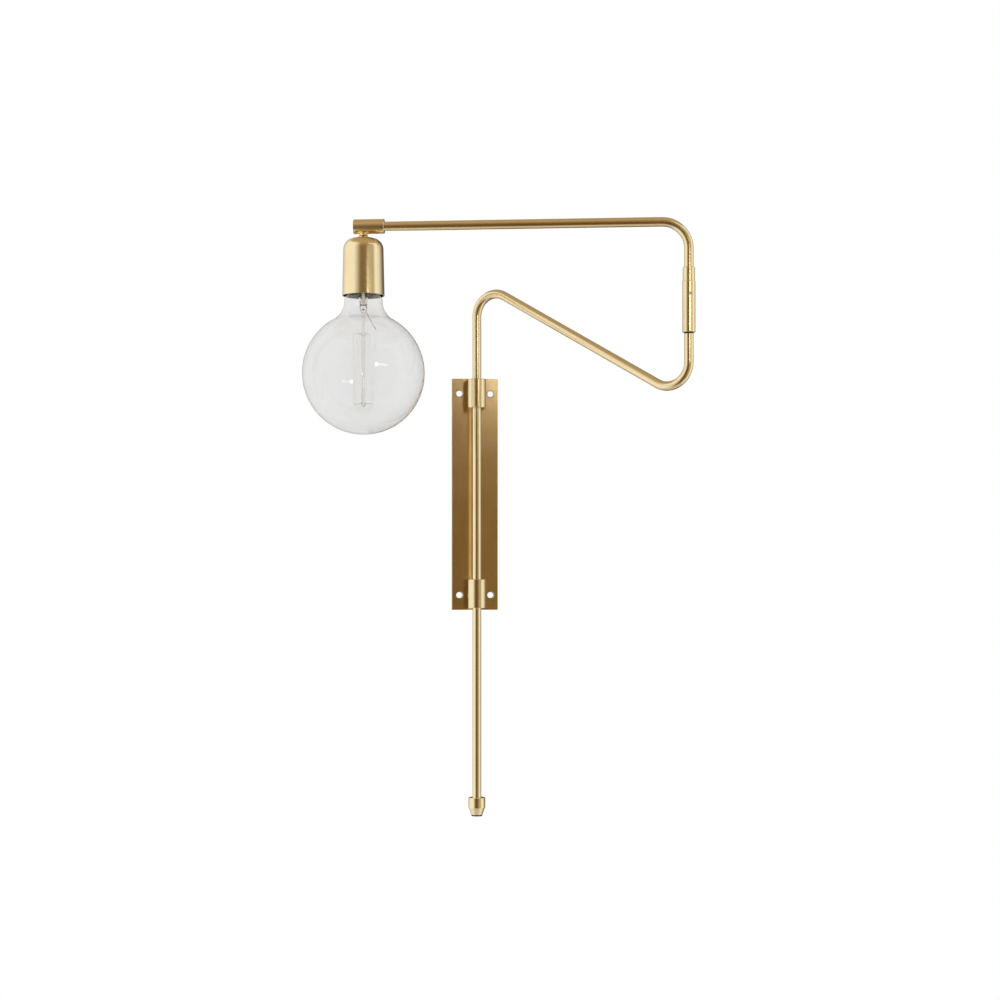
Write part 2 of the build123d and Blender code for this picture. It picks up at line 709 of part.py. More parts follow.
# Upper arm tube, with the groove that limits the head's tilt cut round the wall side of its end
arm_end = UPPER_ARM_REACH - UPPER_ARM_SHORT_OF_HOLDER
tilt_centre = head_foot + UP * arm_level
tilt_axis = Axis(tilt_centre, -upper_direction)
tilt_groove_floor = tube_radius - TILT_GROOVE_DEPTH
tilt_tip_end = tilt_groove_floor + GRUB_TIP_CLEARANCE
tilt_tip_angle = degrees(atan((GRUB_TIP_DIAMETER / 2 + RUNNING_CLEARANCE) / tilt_tip_end))
tilt_groove_half = HEAD_TILT + tilt_tip_angle
groove_start = wall_side.rotate(tilt_axis, -tilt_groove_half)
groove_plane = Plane(
    origin=tilt_centre, x_dir=-upper_direction, z_dir=(-upper_direction).cross(groove_start)
)

with BuildPart() as upper_arm_tube:
    bent_tube(
        upright_section(elbow_foot, upper_direction),
        [(0, upper_tube_bottom), (0, arm_level), (arm_end, arm_level)],
        [UPPER_BEND_RADIUS],
    )
    groove_near = TILT_GRUB_FROM_HOLDER - TILT_GROOVE_WIDTH / 2
    groove_far = TILT_GRUB_FROM_HOLDER + TILT_GROOVE_WIDTH / 2
    turned(
        [
            (groove_near, tilt_groove_floor),
            (groove_far, tilt_groove_floor),
            (groove_far, tube_radius + RUNNING_CLEARANCE),
            (groove_near, tube_radius + RUNNING_CLEARANCE),
        ],
        groove_plane,
        tilt_axis,
        mode=Mode.SUBTRACT,
        arc=2 * tilt_groove_half,
    )
save(upper_arm_tube, "upper_arm_tube")

# Connector on the end of the upper arm. Its outlines run along the arm, from the holder's axis
# towards the elbow, and outwards from the arm's centre line.
arm_section = upright_section(tilt_centre, -upper_direction)
connector_radius = CONNECTOR_DIAMETER / 2
connector_bore_radius = tube_radius + RUNNING_CLEARANCE
cavity_radius = CONNECTOR_CAVITY / 2
bore_end = UPPER_ARM_SHORT_OF_HOLDER - TUBE_END_ROOM
cap_seam = CONNECTOR_CAP_LENGTH - CONNECTOR_TO_FAR_SIDE
nipple_socket_radius = NIPPLE_DIAMETER / 2 + FIXED_CLEARANCE
tilt_screw_face = Plane(
    origin=tilt_centre - upper_direction * TILT_GRUB_FROM_HOLDER + wall_side * connector_radius,
    z_dir=wall_side,
)

with BuildPart() as connector:
    turned(
        [
            (cap_seam, cavity_radius),
            (cap_seam, connector_radius),
            (CONNECTOR_TO_ELBOW_SIDE - CONNECTOR_EDGE, connector_radius),
            (CONNECTOR_TO_ELBOW_SIDE, connector_radius - CONNECTOR_EDGE),
            (CONNECTOR_TO_ELBOW_SIDE, connector_bore_radius),
            (bore_end, connector_bore_radius),
            (bore_end, cavity_radius),
        ],
        arm_section,
        tilt_axis,
    )
    with BuildSketch(Plane(origin=tilt_centre, z_dir=-UP)):
        Circle(nipple_socket_radius)
    extrude(amount=CONNECTOR_DIAMETER, mode=Mode.SUBTRACT)
    with Locations(tilt_screw_face):
        Hole(GRUB_DIAMETER / 2 + FIXED_CLEARANCE, connector_radius)
save(connector, "connector")

with BuildPart() as connector_end_cap:
    spigot_end = cap_seam + CONNECTOR_CAP_SPIGOT
    turned(
        [
            (-CONNECTOR_TO_FAR_SIDE, 0),
            (-CONNECTOR_TO_FAR_SIDE, connector_radius - CONNECTOR_EDGE),
            (-CONNECTOR_TO_FAR_SIDE + CONNECTOR_EDGE, connector_radius),
            (cap_seam, connector_radius),
            (cap_seam, cavity_radius - FIXED_CLEARANCE),
            (spigot_end, cavity_radius - FIXED_CLEARANCE),
            (spigot_end, 0),
        ],
        arm_section,
        tilt_axis,
    )
save(connector_end_cap, "connector_end_cap")

with BuildPart() as connector_grub_screw:
    grub_screw(
        tilt_screw_face,
        connector_radius - connector_bore_radius,
        connector_radius - tilt_tip_end,
        GRUB_TIP_DIAMETER,
    )
save(connector_grub_screw, "connector_grub_screw")

# Threaded nipple that holds the neck, the cup and the lamp holder to the connector
nipple_top = arm_level - cavity_radius - NIPPLE_END_IN_CAVITY
nipple_bottom = body_top - NIPPLE_INTO_POCKET

with BuildPart() as neck_nipple:
    turned(
        ring_outline(NIPPLE_DIAMETER / 2, NIPPLE_BORE / 2, nipple_bottom, nipple_top),
        head_section,
        head_axis,
    )
save(neck_nipple, "neck_nipple")

# Neck collar: hollow-sided like a bell, with a saddle on top for the round connector
neck_top_radius = NECK_TOP_DIAMETER / 2
neck_foot_radius = NECK_FOOT_DIAMETER / 2
neck_top = arm_level - sqrt(connector_radius**2 - neck_top_radius**2)
neck_waist_top = arm_level - connector_radius
neck_flare_end = (neck_foot_radius, cup_top + NECK_FOOT_EDGE)

with BuildPart() as neck_collar:
    with BuildSketch(head_section) as neck_profile:
        with BuildLine():
            Polyline(
                neck_flare_end,
                (neck_foot_radius, cup_top),
                (nipple_socket_radius, cup_top),
                (nipple_socket_radius, neck_top),
                (neck_top_radius, neck_top),
                (neck_top_radius, neck_waist_top),
            )
            TangentArc((neck_top_radius, neck_waist_top), neck_flare_end, tangent=(0, -1))
        make_face()
    revolve(axis=head_axis)
    with BuildSketch(Plane(origin=tilt_centre, z_dir=upper_direction)) as saddle:
        Circle(connector_radius + FIXED_CLEARANCE)
    extrude(saddle.sketch, amount=NECK_FOOT_DIAMETER, both=True, mode=Mode.SUBTRACT)
save(neck_collar, "neck_collar")

# Holder cup: a turned shell with a round shoulder and straight sides that widen to the mouth
cup_bottom = cup_top - CUP_HEIGHT
shoulder_radius = CUP_SHOULDER_DIAMETER / 2
mouth_radius = CUP_MOUTH_DIAMETER / 2
shoulder_centre = (shoulder_radius - CUP_SHOULDER_RADIUS, cup_top - CUP_SHOULDER_RADIUS)

with BuildPart() as holder_cup:
    with BuildSketch(head_section):
        with BuildLine():
            outer_top = Line((nipple_socket_radius, cup_top), (shoulder_centre[0], cup_top))
            outer_round = CenterArc(shoulder_centre, CUP_SHOULDER_RADIUS, 90, -90)
            outer_side = Line(outer_round @ 1, (mouth_radius, cup_bottom))
            mouth = Line(outer_side @ 1, (mouth_radius - CUP_WALL, cup_bottom))
            inner_round = CenterArc(shoulder_centre, CUP_SHOULDER_RADIUS - CUP_WALL, 0, 90)
            Line(mouth @ 1, inner_round @ 0)
            inner_top = Line(inner_round @ 1, (nipple_socket_radius, cup_top - CUP_WALL))
            Line(inner_top @ 1, outer_top @ 0)
        make_face()
    revolve(axis=head_axis)
save(holder_cup, "holder_cup")

# Lock nut on the nipple, under the cup's top
with BuildPart() as holder_lock_nut:
    nut_top = cup_top - CUP_WALL
    with BuildSketch(Plane(origin=head_foot + UP * nut_top, x_dir=upper_direction)):
        RegularPolygon(LOCK_NUT_ACROSS_FLATS / 2, 6, major_radius=False)
        Circle(nipple_socket_radius, mode=Mode.SUBTRACT)
    extrude(amount=-LOCK_NUT_HEIGHT)
save(holder_lock_nut, "holder_lock_nut")

# Mounting bridge, a strap on the nipple that carries the lamp holder
bridge_screw_places = [(-BRIDGE_SCREW_SPACING / 2, 0), (BRIDGE_SCREW_SPACING / 2, 0)]
terminal_places = [(0, -TERMINAL_SPACING / 2), (0, TERMINAL_SPACING / 2)]
body_top_plane = Plane(origin=head_foot + UP * body_top, x_dir=-upper_direction)
small_screw_hole = SMALL_SCREW_DIAMETER / 2 + FIXED_CLEARANCE
bridge_top = body_top + BRIDGE_THICKNESS

with BuildPart() as mounting_bridge:
    with BuildSketch(body_top_plane):
        SlotOverall(BRIDGE_LENGTH, BRIDGE_WIDTH)
        Circle(nipple_socket_radius, mode=Mode.SUBTRACT)
        with Locations(*bridge_screw_places):
            Circle(small_screw_hole, mode=Mode.SUBTRACT)
    extrude(amount=BRIDGE_THICKNESS)
save(mounting_bridge, "mounting_bridge")

with BuildPart() as bridge_screws:
    slotted_screws(bridge_screw_places, bridge_top)
save(bridge_screws, "bridge_screws")

with BuildPart() as terminal_screws:
    slotted_screws(terminal_places, body_top)
save(terminal_screws, "terminal_screws")

# Lamp holder body of glazed ceramic, with a skirt round the screw shell
body_radius = BODY_DIAMETER / 2
shell_radius = SHELL_BORE / 2 + SHELL_WALL
pocket_radius = CONTACT_POCKET_DIAMETER / 2
nipple_pocket_radius = NIPPLE_POCKET_DIAMETER / 2
nipple_pocket_floor = body_top - NIPPLE_POCKET_DEPTH
skirt_bottom = body_top - BODY_HEIGHT
skirt_inner = shell_radius + FIXED_CLEARANCE

with BuildPart() as holder_body:
    turned(
        [
            (0, contact_ceiling),
            (pocket_radius, contact_ceiling),
            (pocket_radius, disc_bottom),
            (skirt_inner, disc_bottom),
            (skirt_inner, skirt_bottom),
            (body_radius, skirt_bottom),
            (body_radius, body_top),
            (nipple_pocket_radius, body_top),
            (nipple_pocket_radius, nipple_pocket_floor),
            (0, nipple_pocket_floor),
        ],
        head_section,
        head_axis,
    )
    with Locations(body_top_plane):
        with Locations(*bridge_screw_places):
            Hole(small_screw_hole, SMALL_SCREW_GRIP)
        with Locations(*terminal_places):
            Hole(small_screw_hole, SMALL_SCREW_GRIP + FIXED_CLEARANCE)
save(holder_body, "holder_body")

# Screw shell, a metal sleeve with an inward flange against the ceramic
with BuildPart() as screw_shell:
    flange_bottom = disc_bottom - SHELL_WALL
    turned(
        [
            (SHELL_BORE / 2, disc_bottom - SHELL_HEIGHT),
            (shell_radius, disc_bottom - SHELL_HEIGHT),
            (shell_radius, disc_bottom),
            (SHELL_FLANGE_BORE / 2, disc_bottom),
            (SHELL_FLANGE_BORE / 2, flange_bottom),
            (SHELL_BORE / 2, flange_bottom),
        ],
        head_section,
        head_axis,
    )
save(screw_shell, "screw_shell")

# Centre contact, a bent strip hung from the pocket's ceiling
with BuildPart() as centre_contact:
    leaf_end = CONTACT_LEAF * 2 / 3
    with BuildSketch(head_section):
        with BuildLine():
            Polyline(
                (leaf_end - CONTACT_LEAF, contact_level),
                (leaf_end, contact_level),
                (leaf_end, contact_ceiling),
                (leaf_end - CONTACT_FOOT, contact_ceiling),
                (leaf_end - CONTACT_FOOT, contact_ceiling - CONTACT_STRIP),
                (leaf_end - CONTACT_STRIP, contact_ceiling - CONTACT_STRIP),
                (leaf_end - CONTACT_STRIP, contact_level + CONTACT_STRIP),
                (leaf_end - CONTACT_LEAF, contact_level + CONTACT_STRIP),
                close=True,
            )
        make_face()
    extrude(amount=CONTACT_WIDTH / 2, both=True)
save(centre_contact, "centre_contact")

# Globe bulb. Its outlines are drawn in a plane whose zero height is the globe's centre.
globe_centre = head_foot + UP * globe_level
bulb_section = upright_section(globe_centre, -upper_direction)
globe_radius = GLOBE_DIAMETER / 2
neck_radius = GLASS_NECK_DIAMETER / 2
cap_radius = CAP_DIAMETER / 2
glass_top_radius = cap_radius - CAP_WALL - FIXED_CLEARANCE
glass_top_height = CAP_BOTTOM_HEIGHT + CAP_SKIRT - CAP_SKIRT_ROOM

# The neck's fillet, no larger than leaves the shoulder its room under the cap
neck_room = CAP_BOTTOM_HEIGHT - GLASS_SHOULDER_TO_CAP - GLASS_NECK_STRAIGHT
largest_fillet = (neck_room**2 + neck_radius**2 - globe_radius**2) / (
    2 * (globe_radius - neck_radius)
)
neck_fillet = min(GLASS_NECK_FILLET, largest_fillet)


def glass_outline(inset):
    """The edges of the glass's surface, moved inwards by a distance and closed along the axis."""
    fillet_x = neck_radius + neck_fillet
    fillet_height = sqrt((globe_radius + neck_fillet) ** 2 - fillet_x**2)
    fillet_angle = degrees(atan2(fillet_height, fillet_x))
    round_centre = (neck_radius - GLASS_SHOULDER_RADIUS, fillet_height + GLASS_NECK_STRAIGHT)
    shoulder_inner = GLASS_SHOULDER_RADIUS - inset
    top_radius = glass_top_radius - inset
    shoulder_angle = degrees(acos((top_radius - round_centre[0]) / shoulder_inner))
    with BuildLine() as outline:
        globe = CenterArc((0, 0), globe_radius - inset, -90, 90 + fillet_angle)
        hollow = CenterArc(
            (fillet_x, fillet_height), neck_fillet + inset, 180 + fillet_angle, -fillet_angle
        )
        shoulder = CenterArc(round_centre, shoulder_inner, 0, shoulder_angle)
        Line(hollow @ 1, shoulder @ 0)
        Polyline(shoulder @ 1, (top_radius, glass_top_height), (0, glass_top_height), globe @ 0)
    return outline.edges()


with BuildPart() as glass_globe:
    for inset, mode in ((0, Mode.ADD), (GLASS_WALL, Mode.SUBTRACT)):
        with BuildSketch(bulb_section) as glass_profile:
            make_face(glass_outline(inset))
        revolve(glass_profile.sketch, axis=head_axis, mode=mode)
save(glass_globe, "glass_globe")

# Screw cap: a plain skirt over the glass, a ridged thread and a closed-in top
cap_bore_radius = cap_radius - CAP_RIDGE_DEPTH - CAP_WALL
thread_start = CAP_BOTTOM_HEIGHT + CAP_SKIRT
insulator_radius = INSULATOR_DIAMETER / 2
plug_hole_radius = insulator_radius - CAP_WALL
ridges = []
for ridge in range(CAP_RIDGE_COUNT):
    ridge_start = thread_start + ridge * CAP_RIDGE_PITCH
    ridges.append((cap_radius - CAP_RIDGE_DEPTH, ridge_start + CAP_RIDGE_PITCH / 4))
    ridges.append((cap_radius, ridge_start + CAP_RIDGE_PITCH * 3 / 4))

with BuildPart() as screw_cap:
    turned(
        [
            (cap_bore_radius, thread_start),
            (cap_radius - CAP_WALL, thread_start),
            (cap_radius - CAP_WALL, CAP_BOTTOM_HEIGHT),
            (cap_radius, CAP_BOTTOM_HEIGHT),
            (cap_radius, thread_start),
            *ridges,
            (cap_radius - CAP_RIDGE_DEPTH, cap_top_height),
            (plug_hole_radius, cap_top_height),
            (plug_hole_radius, cap_top_height - CAP_WALL),
            (cap_bore_radius, cap_top_height - CAP_WALL),
        ],
        bulb_section,
        head_axis,
    )
save(screw_cap, "screw_cap")

with BuildPart() as cap_insulator:
    plug_radius = plug_hole_radius - FIXED_CLEARANCE
    insulator_top = cap_top_height + INSULATOR_HEIGHT
    turned(
        [
            (0, cap_top_height - INSULATOR_PLUG),
            (plug_radius, cap_top_height - INSULATOR_PLUG),
            (plug_radius, cap_top_height),
            (insulator_radius, cap_top_height),
            (INSULATOR_TIP_DIAMETER / 2, insulator_top),
            (0, insulator_top),
        ],
        bulb_section,
        head_axis,
    )
save(cap_insulator, "cap_insulator")

with BuildPart() as tip_contact:
    turned(
        ring_outline(TIP_DIAMETER / 2, 0, insulator_top, tip_height), bulb_section, head_axis
    )
    fillet(tip_contact.edges().sort_by(Axis.Z)[-1], radius=TIP_HEIGHT / 2)
save(tip_contact, "tip_contact")

# Glass stem: a flare sealed in the neck, a tube, a flat press and a long rod with two hubs
stem_radius = STEM_DIAMETER / 2
flare_rim = glass_top_radius - GLASS_WALL - FIXED_CLEARANCE
flare_radius = (flare_rim - stem_radius) / (1 - cos(radians(STEM_FLARE_ANGLE)))
flare_start = glass_top_height - STEM_FLARE_BELOW_TOP
flare_centre = (stem_radius + flare_radius, flare_start)
stem_bottom = flare_start - STEM_TUBE_LENGTH
press_bottom = stem_bottom - PRESS_HEIGHT

with BuildPart() as stem:
    with BuildSketch(bulb_section) as stem_profile:
        with BuildLine():
            outer_flare = CenterArc(flare_centre, flare_radius, 180, -STEM_FLARE_ANGLE)
            inner_flare = CenterArc(flare_centre, flare_radius + STEM_WALL, 180, -STEM_FLARE_ANGLE)
            Line(outer_flare @ 1, inner_flare @ 1)
            Polyline(
                inner_flare @ 0,
                (stem_radius - STEM_WALL, stem_bottom + STEM_CLOSED_END),
                (0, stem_bottom + STEM_CLOSED_END),
                (0, stem_bottom),
                (stem_radius, stem_bottom),
                outer_flare @ 0,
            )
        make_face()
    revolve(stem_profile.sketch, axis=head_axis)
    with BuildSketch(Plane(origin=globe_centre + UP * stem_bottom, x_dir=-upper_direction)) as neck_end:
        Circle(stem_radius)
    press_top_plane = Plane(
        origin=globe_centre + UP * (stem_bottom - PRESS_TAPER), x_dir=-upper_direction
    )
    with BuildSketch(press_top_plane) as press_section:
        Rectangle(PRESS_WIDTH, PRESS_THICKNESS)
    loft([neck_end.sketch.face(), press_section.sketch.face()])
    extrude(press_section.sketch, amount=PRESS_TAPER - PRESS_HEIGHT)
    turned(
        ring_outline(ROD_DIAMETER / 2, 0, LOWER_HUB_HEIGHT, press_bottom), bulb_section, head_axis
    )
    for hub_height in (UPPER_HUB_HEIGHT, LOWER_HUB_HEIGHT):
        hub_bottom = hub_height - HUB_LENGTH / 2
        hub_top = hub_height + HUB_LENGTH / 2
        turned(
            ring_outline(HUB_DIAMETER / 2, 0, hub_bottom, hub_top), bulb_section, head_axis
        )
save(stem, "stem")


def bulb_point(angle, radius, height):
    """A point in the bulb, at this angle about its axis from the side towards the elbow."""
    outward = (-upper_direction).rotate(Axis((0, 0, 0), UP), angle)
    return globe_centre + outward * radius + UP * height


# Wire supports round the two hubs, a half step apart, and the filament that zigzags between
# their tips. Two lead wires from the press hold the filament's ends beside each other.
support_step = 360 / LOWER_SUPPORT_COUNT
upper_support_angles = [support_step * step for step in range(1, LOWER_SUPPORT_COUNT)]
lower_support_angles = [support_step * (step + 0.5) for step in range(LOWER_SUPPORT_COUNT)]
wire_start = HUB_DIAMETER / 2 + FIXED_CLEARANCE
hook_radius = SUPPORT_REACH + WIRE_DIAMETER / 2 + FILAMENT_DIAMETER / 2 + FIXED_CLEARANCE

with BuildPart() as upper_support_wires:
    for angle in upper_support_angles:
        bent_wire(
            [
                bulb_point(angle, wire_start, UPPER_HUB_HEIGHT),
                bulb_point(angle, SUPPORT_REACH, UPPER_HUB_HEIGHT),
                bulb_point(angle, SUPPORT_REACH, UPPER_HUB_HEIGHT + SUPPORT_HOOK),
            ],
            WIRE_DIAMETER,
        )
save(upper_support_wires, "upper_support_wires")

with BuildPart() as lower_support_wires:
    for angle in lower_support_angles:
        bent_wire(
            [
                bulb_point(angle, wire_start, LOWER_HUB_HEIGHT),
                bulb_point(angle, SUPPORT_REACH, LOWER_HUB_HEIGHT),
                bulb_point(angle, SUPPORT_REACH, LOWER_HUB_HEIGHT - SUPPORT_HOOK),
            ],
            WIRE_DIAMETER,
        )
save(lower_support_wires, "lower_support_wires")

with BuildPart() as lead_wires:
    lead_top = press_bottom - FIXED_CLEARANCE
    for side, start_angle in ((1, 0), (-1, 180)):
        route = [
            bulb_point(start_angle, LEAD_START_SPREAD, lead_top),
            bulb_point(start_angle, LEAD_START_SPREAD, lead_top - LEAD_STRAIGHT),
        ]
        if start_angle:
            route.append(bulb_point(-90, LEAD_DETOUR, (lead_top + LEAD_END_HEIGHT) / 2))
        route.append(bulb_point(side * LEAD_ANGLE, LEAD_SPREAD, LEAD_END_HEIGHT))
        route.append(bulb_point(side * LEAD_ANGLE, LEAD_SPREAD, LEAD_END_HEIGHT + LEAD_HOOK))
        bent_wire(route, WIRE_DIAMETER)
save(lead_wires, "lead_wires")

lead_hook_radius = LEAD_SPREAD + hook_radius - SUPPORT_REACH
filament_points = [bulb_point(LEAD_ANGLE, lead_hook_radius, LEAD_END_HEIGHT)]
for lower_angle, upper_angle in zip(lower_support_angles, upper_support_angles):
    filament_points.append(bulb_point(lower_angle, hook_radius, LOWER_HUB_HEIGHT))
    filament_points.append(bulb_point(upper_angle, hook_radius, UPPER_HUB_HEIGHT))
filament_points.append(bulb_point(lower_support_angles[-1], hook_radius, LOWER_HUB_HEIGHT))
filament_points.append(bulb_point(-LEAD_ANGLE, lead_hook_radius, LEAD_END_HEIGHT))

with BuildPart() as filament:
    bent_wire(filament_points, FILAMENT_DIAMETER)
save(filament, "filament")
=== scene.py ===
"""Looks of a brass swing arm wall lamp: its finishes, fine glass and wires, studio and camera."""

import logging
import math
from dataclasses import dataclass, field
from enum import Enum
from typing import Callable, Sequence

import bmesh
import bpy
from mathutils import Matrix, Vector


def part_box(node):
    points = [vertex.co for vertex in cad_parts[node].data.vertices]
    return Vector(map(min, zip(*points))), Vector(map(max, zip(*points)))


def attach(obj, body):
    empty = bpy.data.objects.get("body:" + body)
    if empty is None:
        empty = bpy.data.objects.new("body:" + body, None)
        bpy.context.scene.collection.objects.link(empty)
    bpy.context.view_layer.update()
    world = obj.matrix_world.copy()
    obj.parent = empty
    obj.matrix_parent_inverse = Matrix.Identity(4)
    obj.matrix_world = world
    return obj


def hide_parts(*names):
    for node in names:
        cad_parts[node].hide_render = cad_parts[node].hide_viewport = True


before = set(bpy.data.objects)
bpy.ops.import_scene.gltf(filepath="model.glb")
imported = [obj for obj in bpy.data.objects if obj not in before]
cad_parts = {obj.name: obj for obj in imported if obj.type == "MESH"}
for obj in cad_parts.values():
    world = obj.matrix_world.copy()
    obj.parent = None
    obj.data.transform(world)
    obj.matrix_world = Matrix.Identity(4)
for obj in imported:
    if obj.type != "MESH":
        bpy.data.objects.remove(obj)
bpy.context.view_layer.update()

log = logging.getLogger("swing_arm_lamp")

MM = 0.001
SAME_PLACE = 1e-7
Colour = tuple[float, float, float]
Point = tuple[float, float]
ShapedPoint = Callable[[float], Point]


class Grain(Enum):
    """How the fine lines of a finish run over a piece."""

    UPRIGHT = (1100.0, 1100.0, 12.0)
    TURNED = (40.0, 40.0, 2600.0)
    EVEN = (420.0, 420.0, 420.0)


class SeenBy(Enum):
    """Which rays meet a studio card."""

    MIRRORS = "rays that a surface mirrors"
    GLASS = "rays that have crossed glass"


def grey(value: float) -> Colour:
    """A grey of this linear value."""
    return (value, value, value)


class NodeBench:
    """A material's node tree, with short calls that add nodes and join them."""

    def __init__(self, name: str) -> None:
        """Start an empty material.

        Args:
            name: The material's name.
        """
        self.material = bpy.data.materials.new(name)
        self.material.use_nodes = True
        self.tree = self.material.node_tree
        self.tree.nodes.clear()
        self.output = self.add("ShaderNodeOutputMaterial")

    def add(self, kind: str, **settings: object) -> bpy.types.Node:
        """Add a node.

        Args:
            kind: The node's type.
            settings: Its properties and their values.

        Returns:
            The new node.
        """
        node = self.tree.nodes.new(kind)
        for name, value in settings.items():
            setattr(node, name, value)
        return node

    def join(self, source: bpy.types.NodeSocket, target: bpy.types.NodeSocket) -> None:
        """Link one socket to another."""
        self.tree.links.new(source, target)

    def places(self, scale: tuple[float, float, float]) -> bpy.types.NodeSocket:
        """The piece's own coordinates in metres, stretched.

        Args:
            scale: How many texture cells fit in a metre along each axis.

        Returns:
            The stretched coordinates.
        """
        coordinates = self.add("ShaderNodeTexCoord")
        stretch = self.add("ShaderNodeMapping")
        stretch.inputs["Scale"].default_value = scale
        self.join(coordinates.outputs["Object"], stretch.inputs["Vector"])
        return stretch.outputs["Vector"]

    def noise(self, scale: tuple[float, float, float], detail: float) -> bpy.types.NodeSocket:
        """A noise pattern over the piece.

        Args:
            scale: How many cells fit in a metre along each axis.
            detail: How many finer layers it has.

        Returns:
            The noise, from 0 to 1.
        """
        texture = self.add("ShaderNodeTexNoise")
        texture.inputs["Scale"].default_value = 1.0
        texture.inputs["Detail"].default_value = detail
        self.join(self.places(scale), texture.inputs["Vector"])
        return texture.outputs["Fac"]

    def spread(
        self,
        value: bpy.types.NodeSocket,
        low: float,
        high: float,
        middle: float = 0.5,
        reach: float = 0.2,
    ) -> bpy.types.NodeSocket:
        """Turn a noise into a number between two ends.

        Args:
            value: The noise.
            low: The result where the noise is low.
            high: The result where the noise is high.
            middle: The noise's own middle.
            reach: How far from its middle the noise counts.

        Returns:
            The number.
        """
        node = self.add("ShaderNodeMapRange")
        node.inputs["From Min"].default_value = middle - reach
        node.inputs["From Max"].default_value = middle + reach
        node.inputs["To Min"].default_value = low
        node.inputs["To Max"].default_value = high
        self.join(value, node.inputs["Value"])
        return node.outputs["Result"]

    def blend(
        self, share: bpy.types.NodeSocket, first: Colour, second: Colour
    ) -> bpy.types.NodeSocket:
        """Mix two colours.

        Args:
            share: The share of the second colour.
            first: The first colour.
            second: The second colour.

        Returns:
            The mixed colour.
        """
        node = self.add("ShaderNodeMix", data_type="RGBA")
        for socket, colour in zip(self.colours(node.inputs), (first, second)):
            socket.default_value = (*colour, 1.0)
        self.join(share, node.inputs["Factor"])
        return self.colours(node.outputs)[0]

    def shade(
        self, colour: bpy.types.NodeSocket, by: bpy.types.NodeSocket
    ) -> bpy.types.NodeSocket:
        """Darken one colour by another.

        Args:
            colour: The colour.
            by: The colour that it is multiplied by.

        Returns:
            The darker colour.
        """
        node = self.add("ShaderNodeMix", data_type="RGBA", blend_type="MULTIPLY")
        node.inputs["Factor"].default_value = 1.0
        for source, target in zip((colour, by), self.colours(node.inputs)):
            self.join(source, target)
        return self.colours(node.outputs)[0]

    def colours(self, sockets: Sequence[bpy.types.NodeSocket]) -> list[bpy.types.NodeSocket]:
        """The sockets that hold a colour, in their own order."""
        return [socket for socket in sockets if socket.type == "RGBA"]

    def relief(
        self, height: bpy.types.NodeSocket, depth: float, strength: float
    ) -> bpy.types.NodeSocket:
        """A fine relief from a pattern.

        Args:
            height: The pattern.
            depth: The relief's depth in metres.
            strength: Its strength, up to 1.

        Returns:
            The bumped normal.
        """
        node = self.add("ShaderNodeBump")
        node.inputs["Distance"].default_value = depth
        node.inputs["Strength"].default_value = strength
        self.join(height, node.inputs["Height"])
        return node.outputs["Normal"]

    def surface(self, **values: float) -> bpy.types.Node:
        """Add the main shader and join it to the output.

        Args:
            values: Numbers for its own sockets, with underscores for spaces.

        Returns:
            The shader node.
        """
        shader = self.add("ShaderNodeBsdfPrincipled")
        for name, value in values.items():
            shader.inputs[name.replace("_", " ")].default_value = value
        self.join(shader.outputs["BSDF"], self.output.inputs["Surface"])
        return shader


@dataclass(frozen=True)
class MetalFinish:
    """A metal with fine lines from brushing or turning, and uneven toning."""

    name: str
    bright: Colour
    toned: Colour
    roughness: float
    grain: Grain
    roughness_range: float = 0.008
    line_shade: float = 0.985
    line_depth: float = 0.000004
    line_strength: float = 0.05
    tone_cells: float = 28.0

    def material(self) -> bpy.types.Material:
        """Build the finish from nodes.

        Returns:
            The material.
        """
        bench = NodeBench(self.name)
        lines = bench.noise(self.grain.value, 3.0)
        tone = bench.noise((self.tone_cells,) * 3, 4.0)
        shader = bench.surface(Metallic=1.0)
        colour = bench.blend(bench.spread(tone, 0.0, 1.0), self.bright, self.toned)
        streaks = bench.blend(bench.spread(lines, 0.0, 1.0), grey(1.0), grey(self.line_shade))
        bench.join(bench.shade(colour, streaks), shader.inputs["Base Color"])
        low, high = self.roughness - self.roughness_range, self.roughness + self.roughness_range
        bench.join(bench.spread(lines, low, high), shader.inputs["Roughness"])
        relief = bench.relief(lines, self.line_depth, self.line_strength)
        bench.join(relief, shader.inputs["Normal"])
        return bench.material


@dataclass(frozen=True)
class MouldedFinish:
    """Plastic, ceramic or black glass: a body colour with mottling and a fine skin."""

    name: str
    colour: Colour
    mottle: Colour
    roughness: float
    gloss: float = 0.0
    gloss_roughness: float = 0.06
    mottle_cells: float = 90.0
    skin_cells: float = 1800.0
    skin_depth: float = 0.00003
    skin_strength: float = 0.2
    skin_range: float = 0.15

    def material(self) -> bpy.types.Material:
        """Build the finish from nodes.

        Returns:
            The material.
        """
        bench = NodeBench(self.name)
        skin = bench.noise((self.skin_cells,) * 3, 2.0)
        tone = bench.noise((self.mottle_cells,) * 3, 4.0)
        shader = bench.surface(Coat_Weight=self.gloss, Coat_Roughness=self.gloss_roughness)
        colour = bench.blend(bench.spread(tone, 0.0, 1.0), self.colour, self.mottle)
        bench.join(colour, shader.inputs["Base Color"])
        low, high = (self.roughness * (1 + side * self.skin_range) for side in (-1, 1))
        bench.join(bench.spread(skin, low, high), shader.inputs["Roughness"])
        relief = bench.relief(skin, self.skin_depth, self.skin_strength)
        bench.join(relief, shader.inputs["Normal"])
        return bench.material


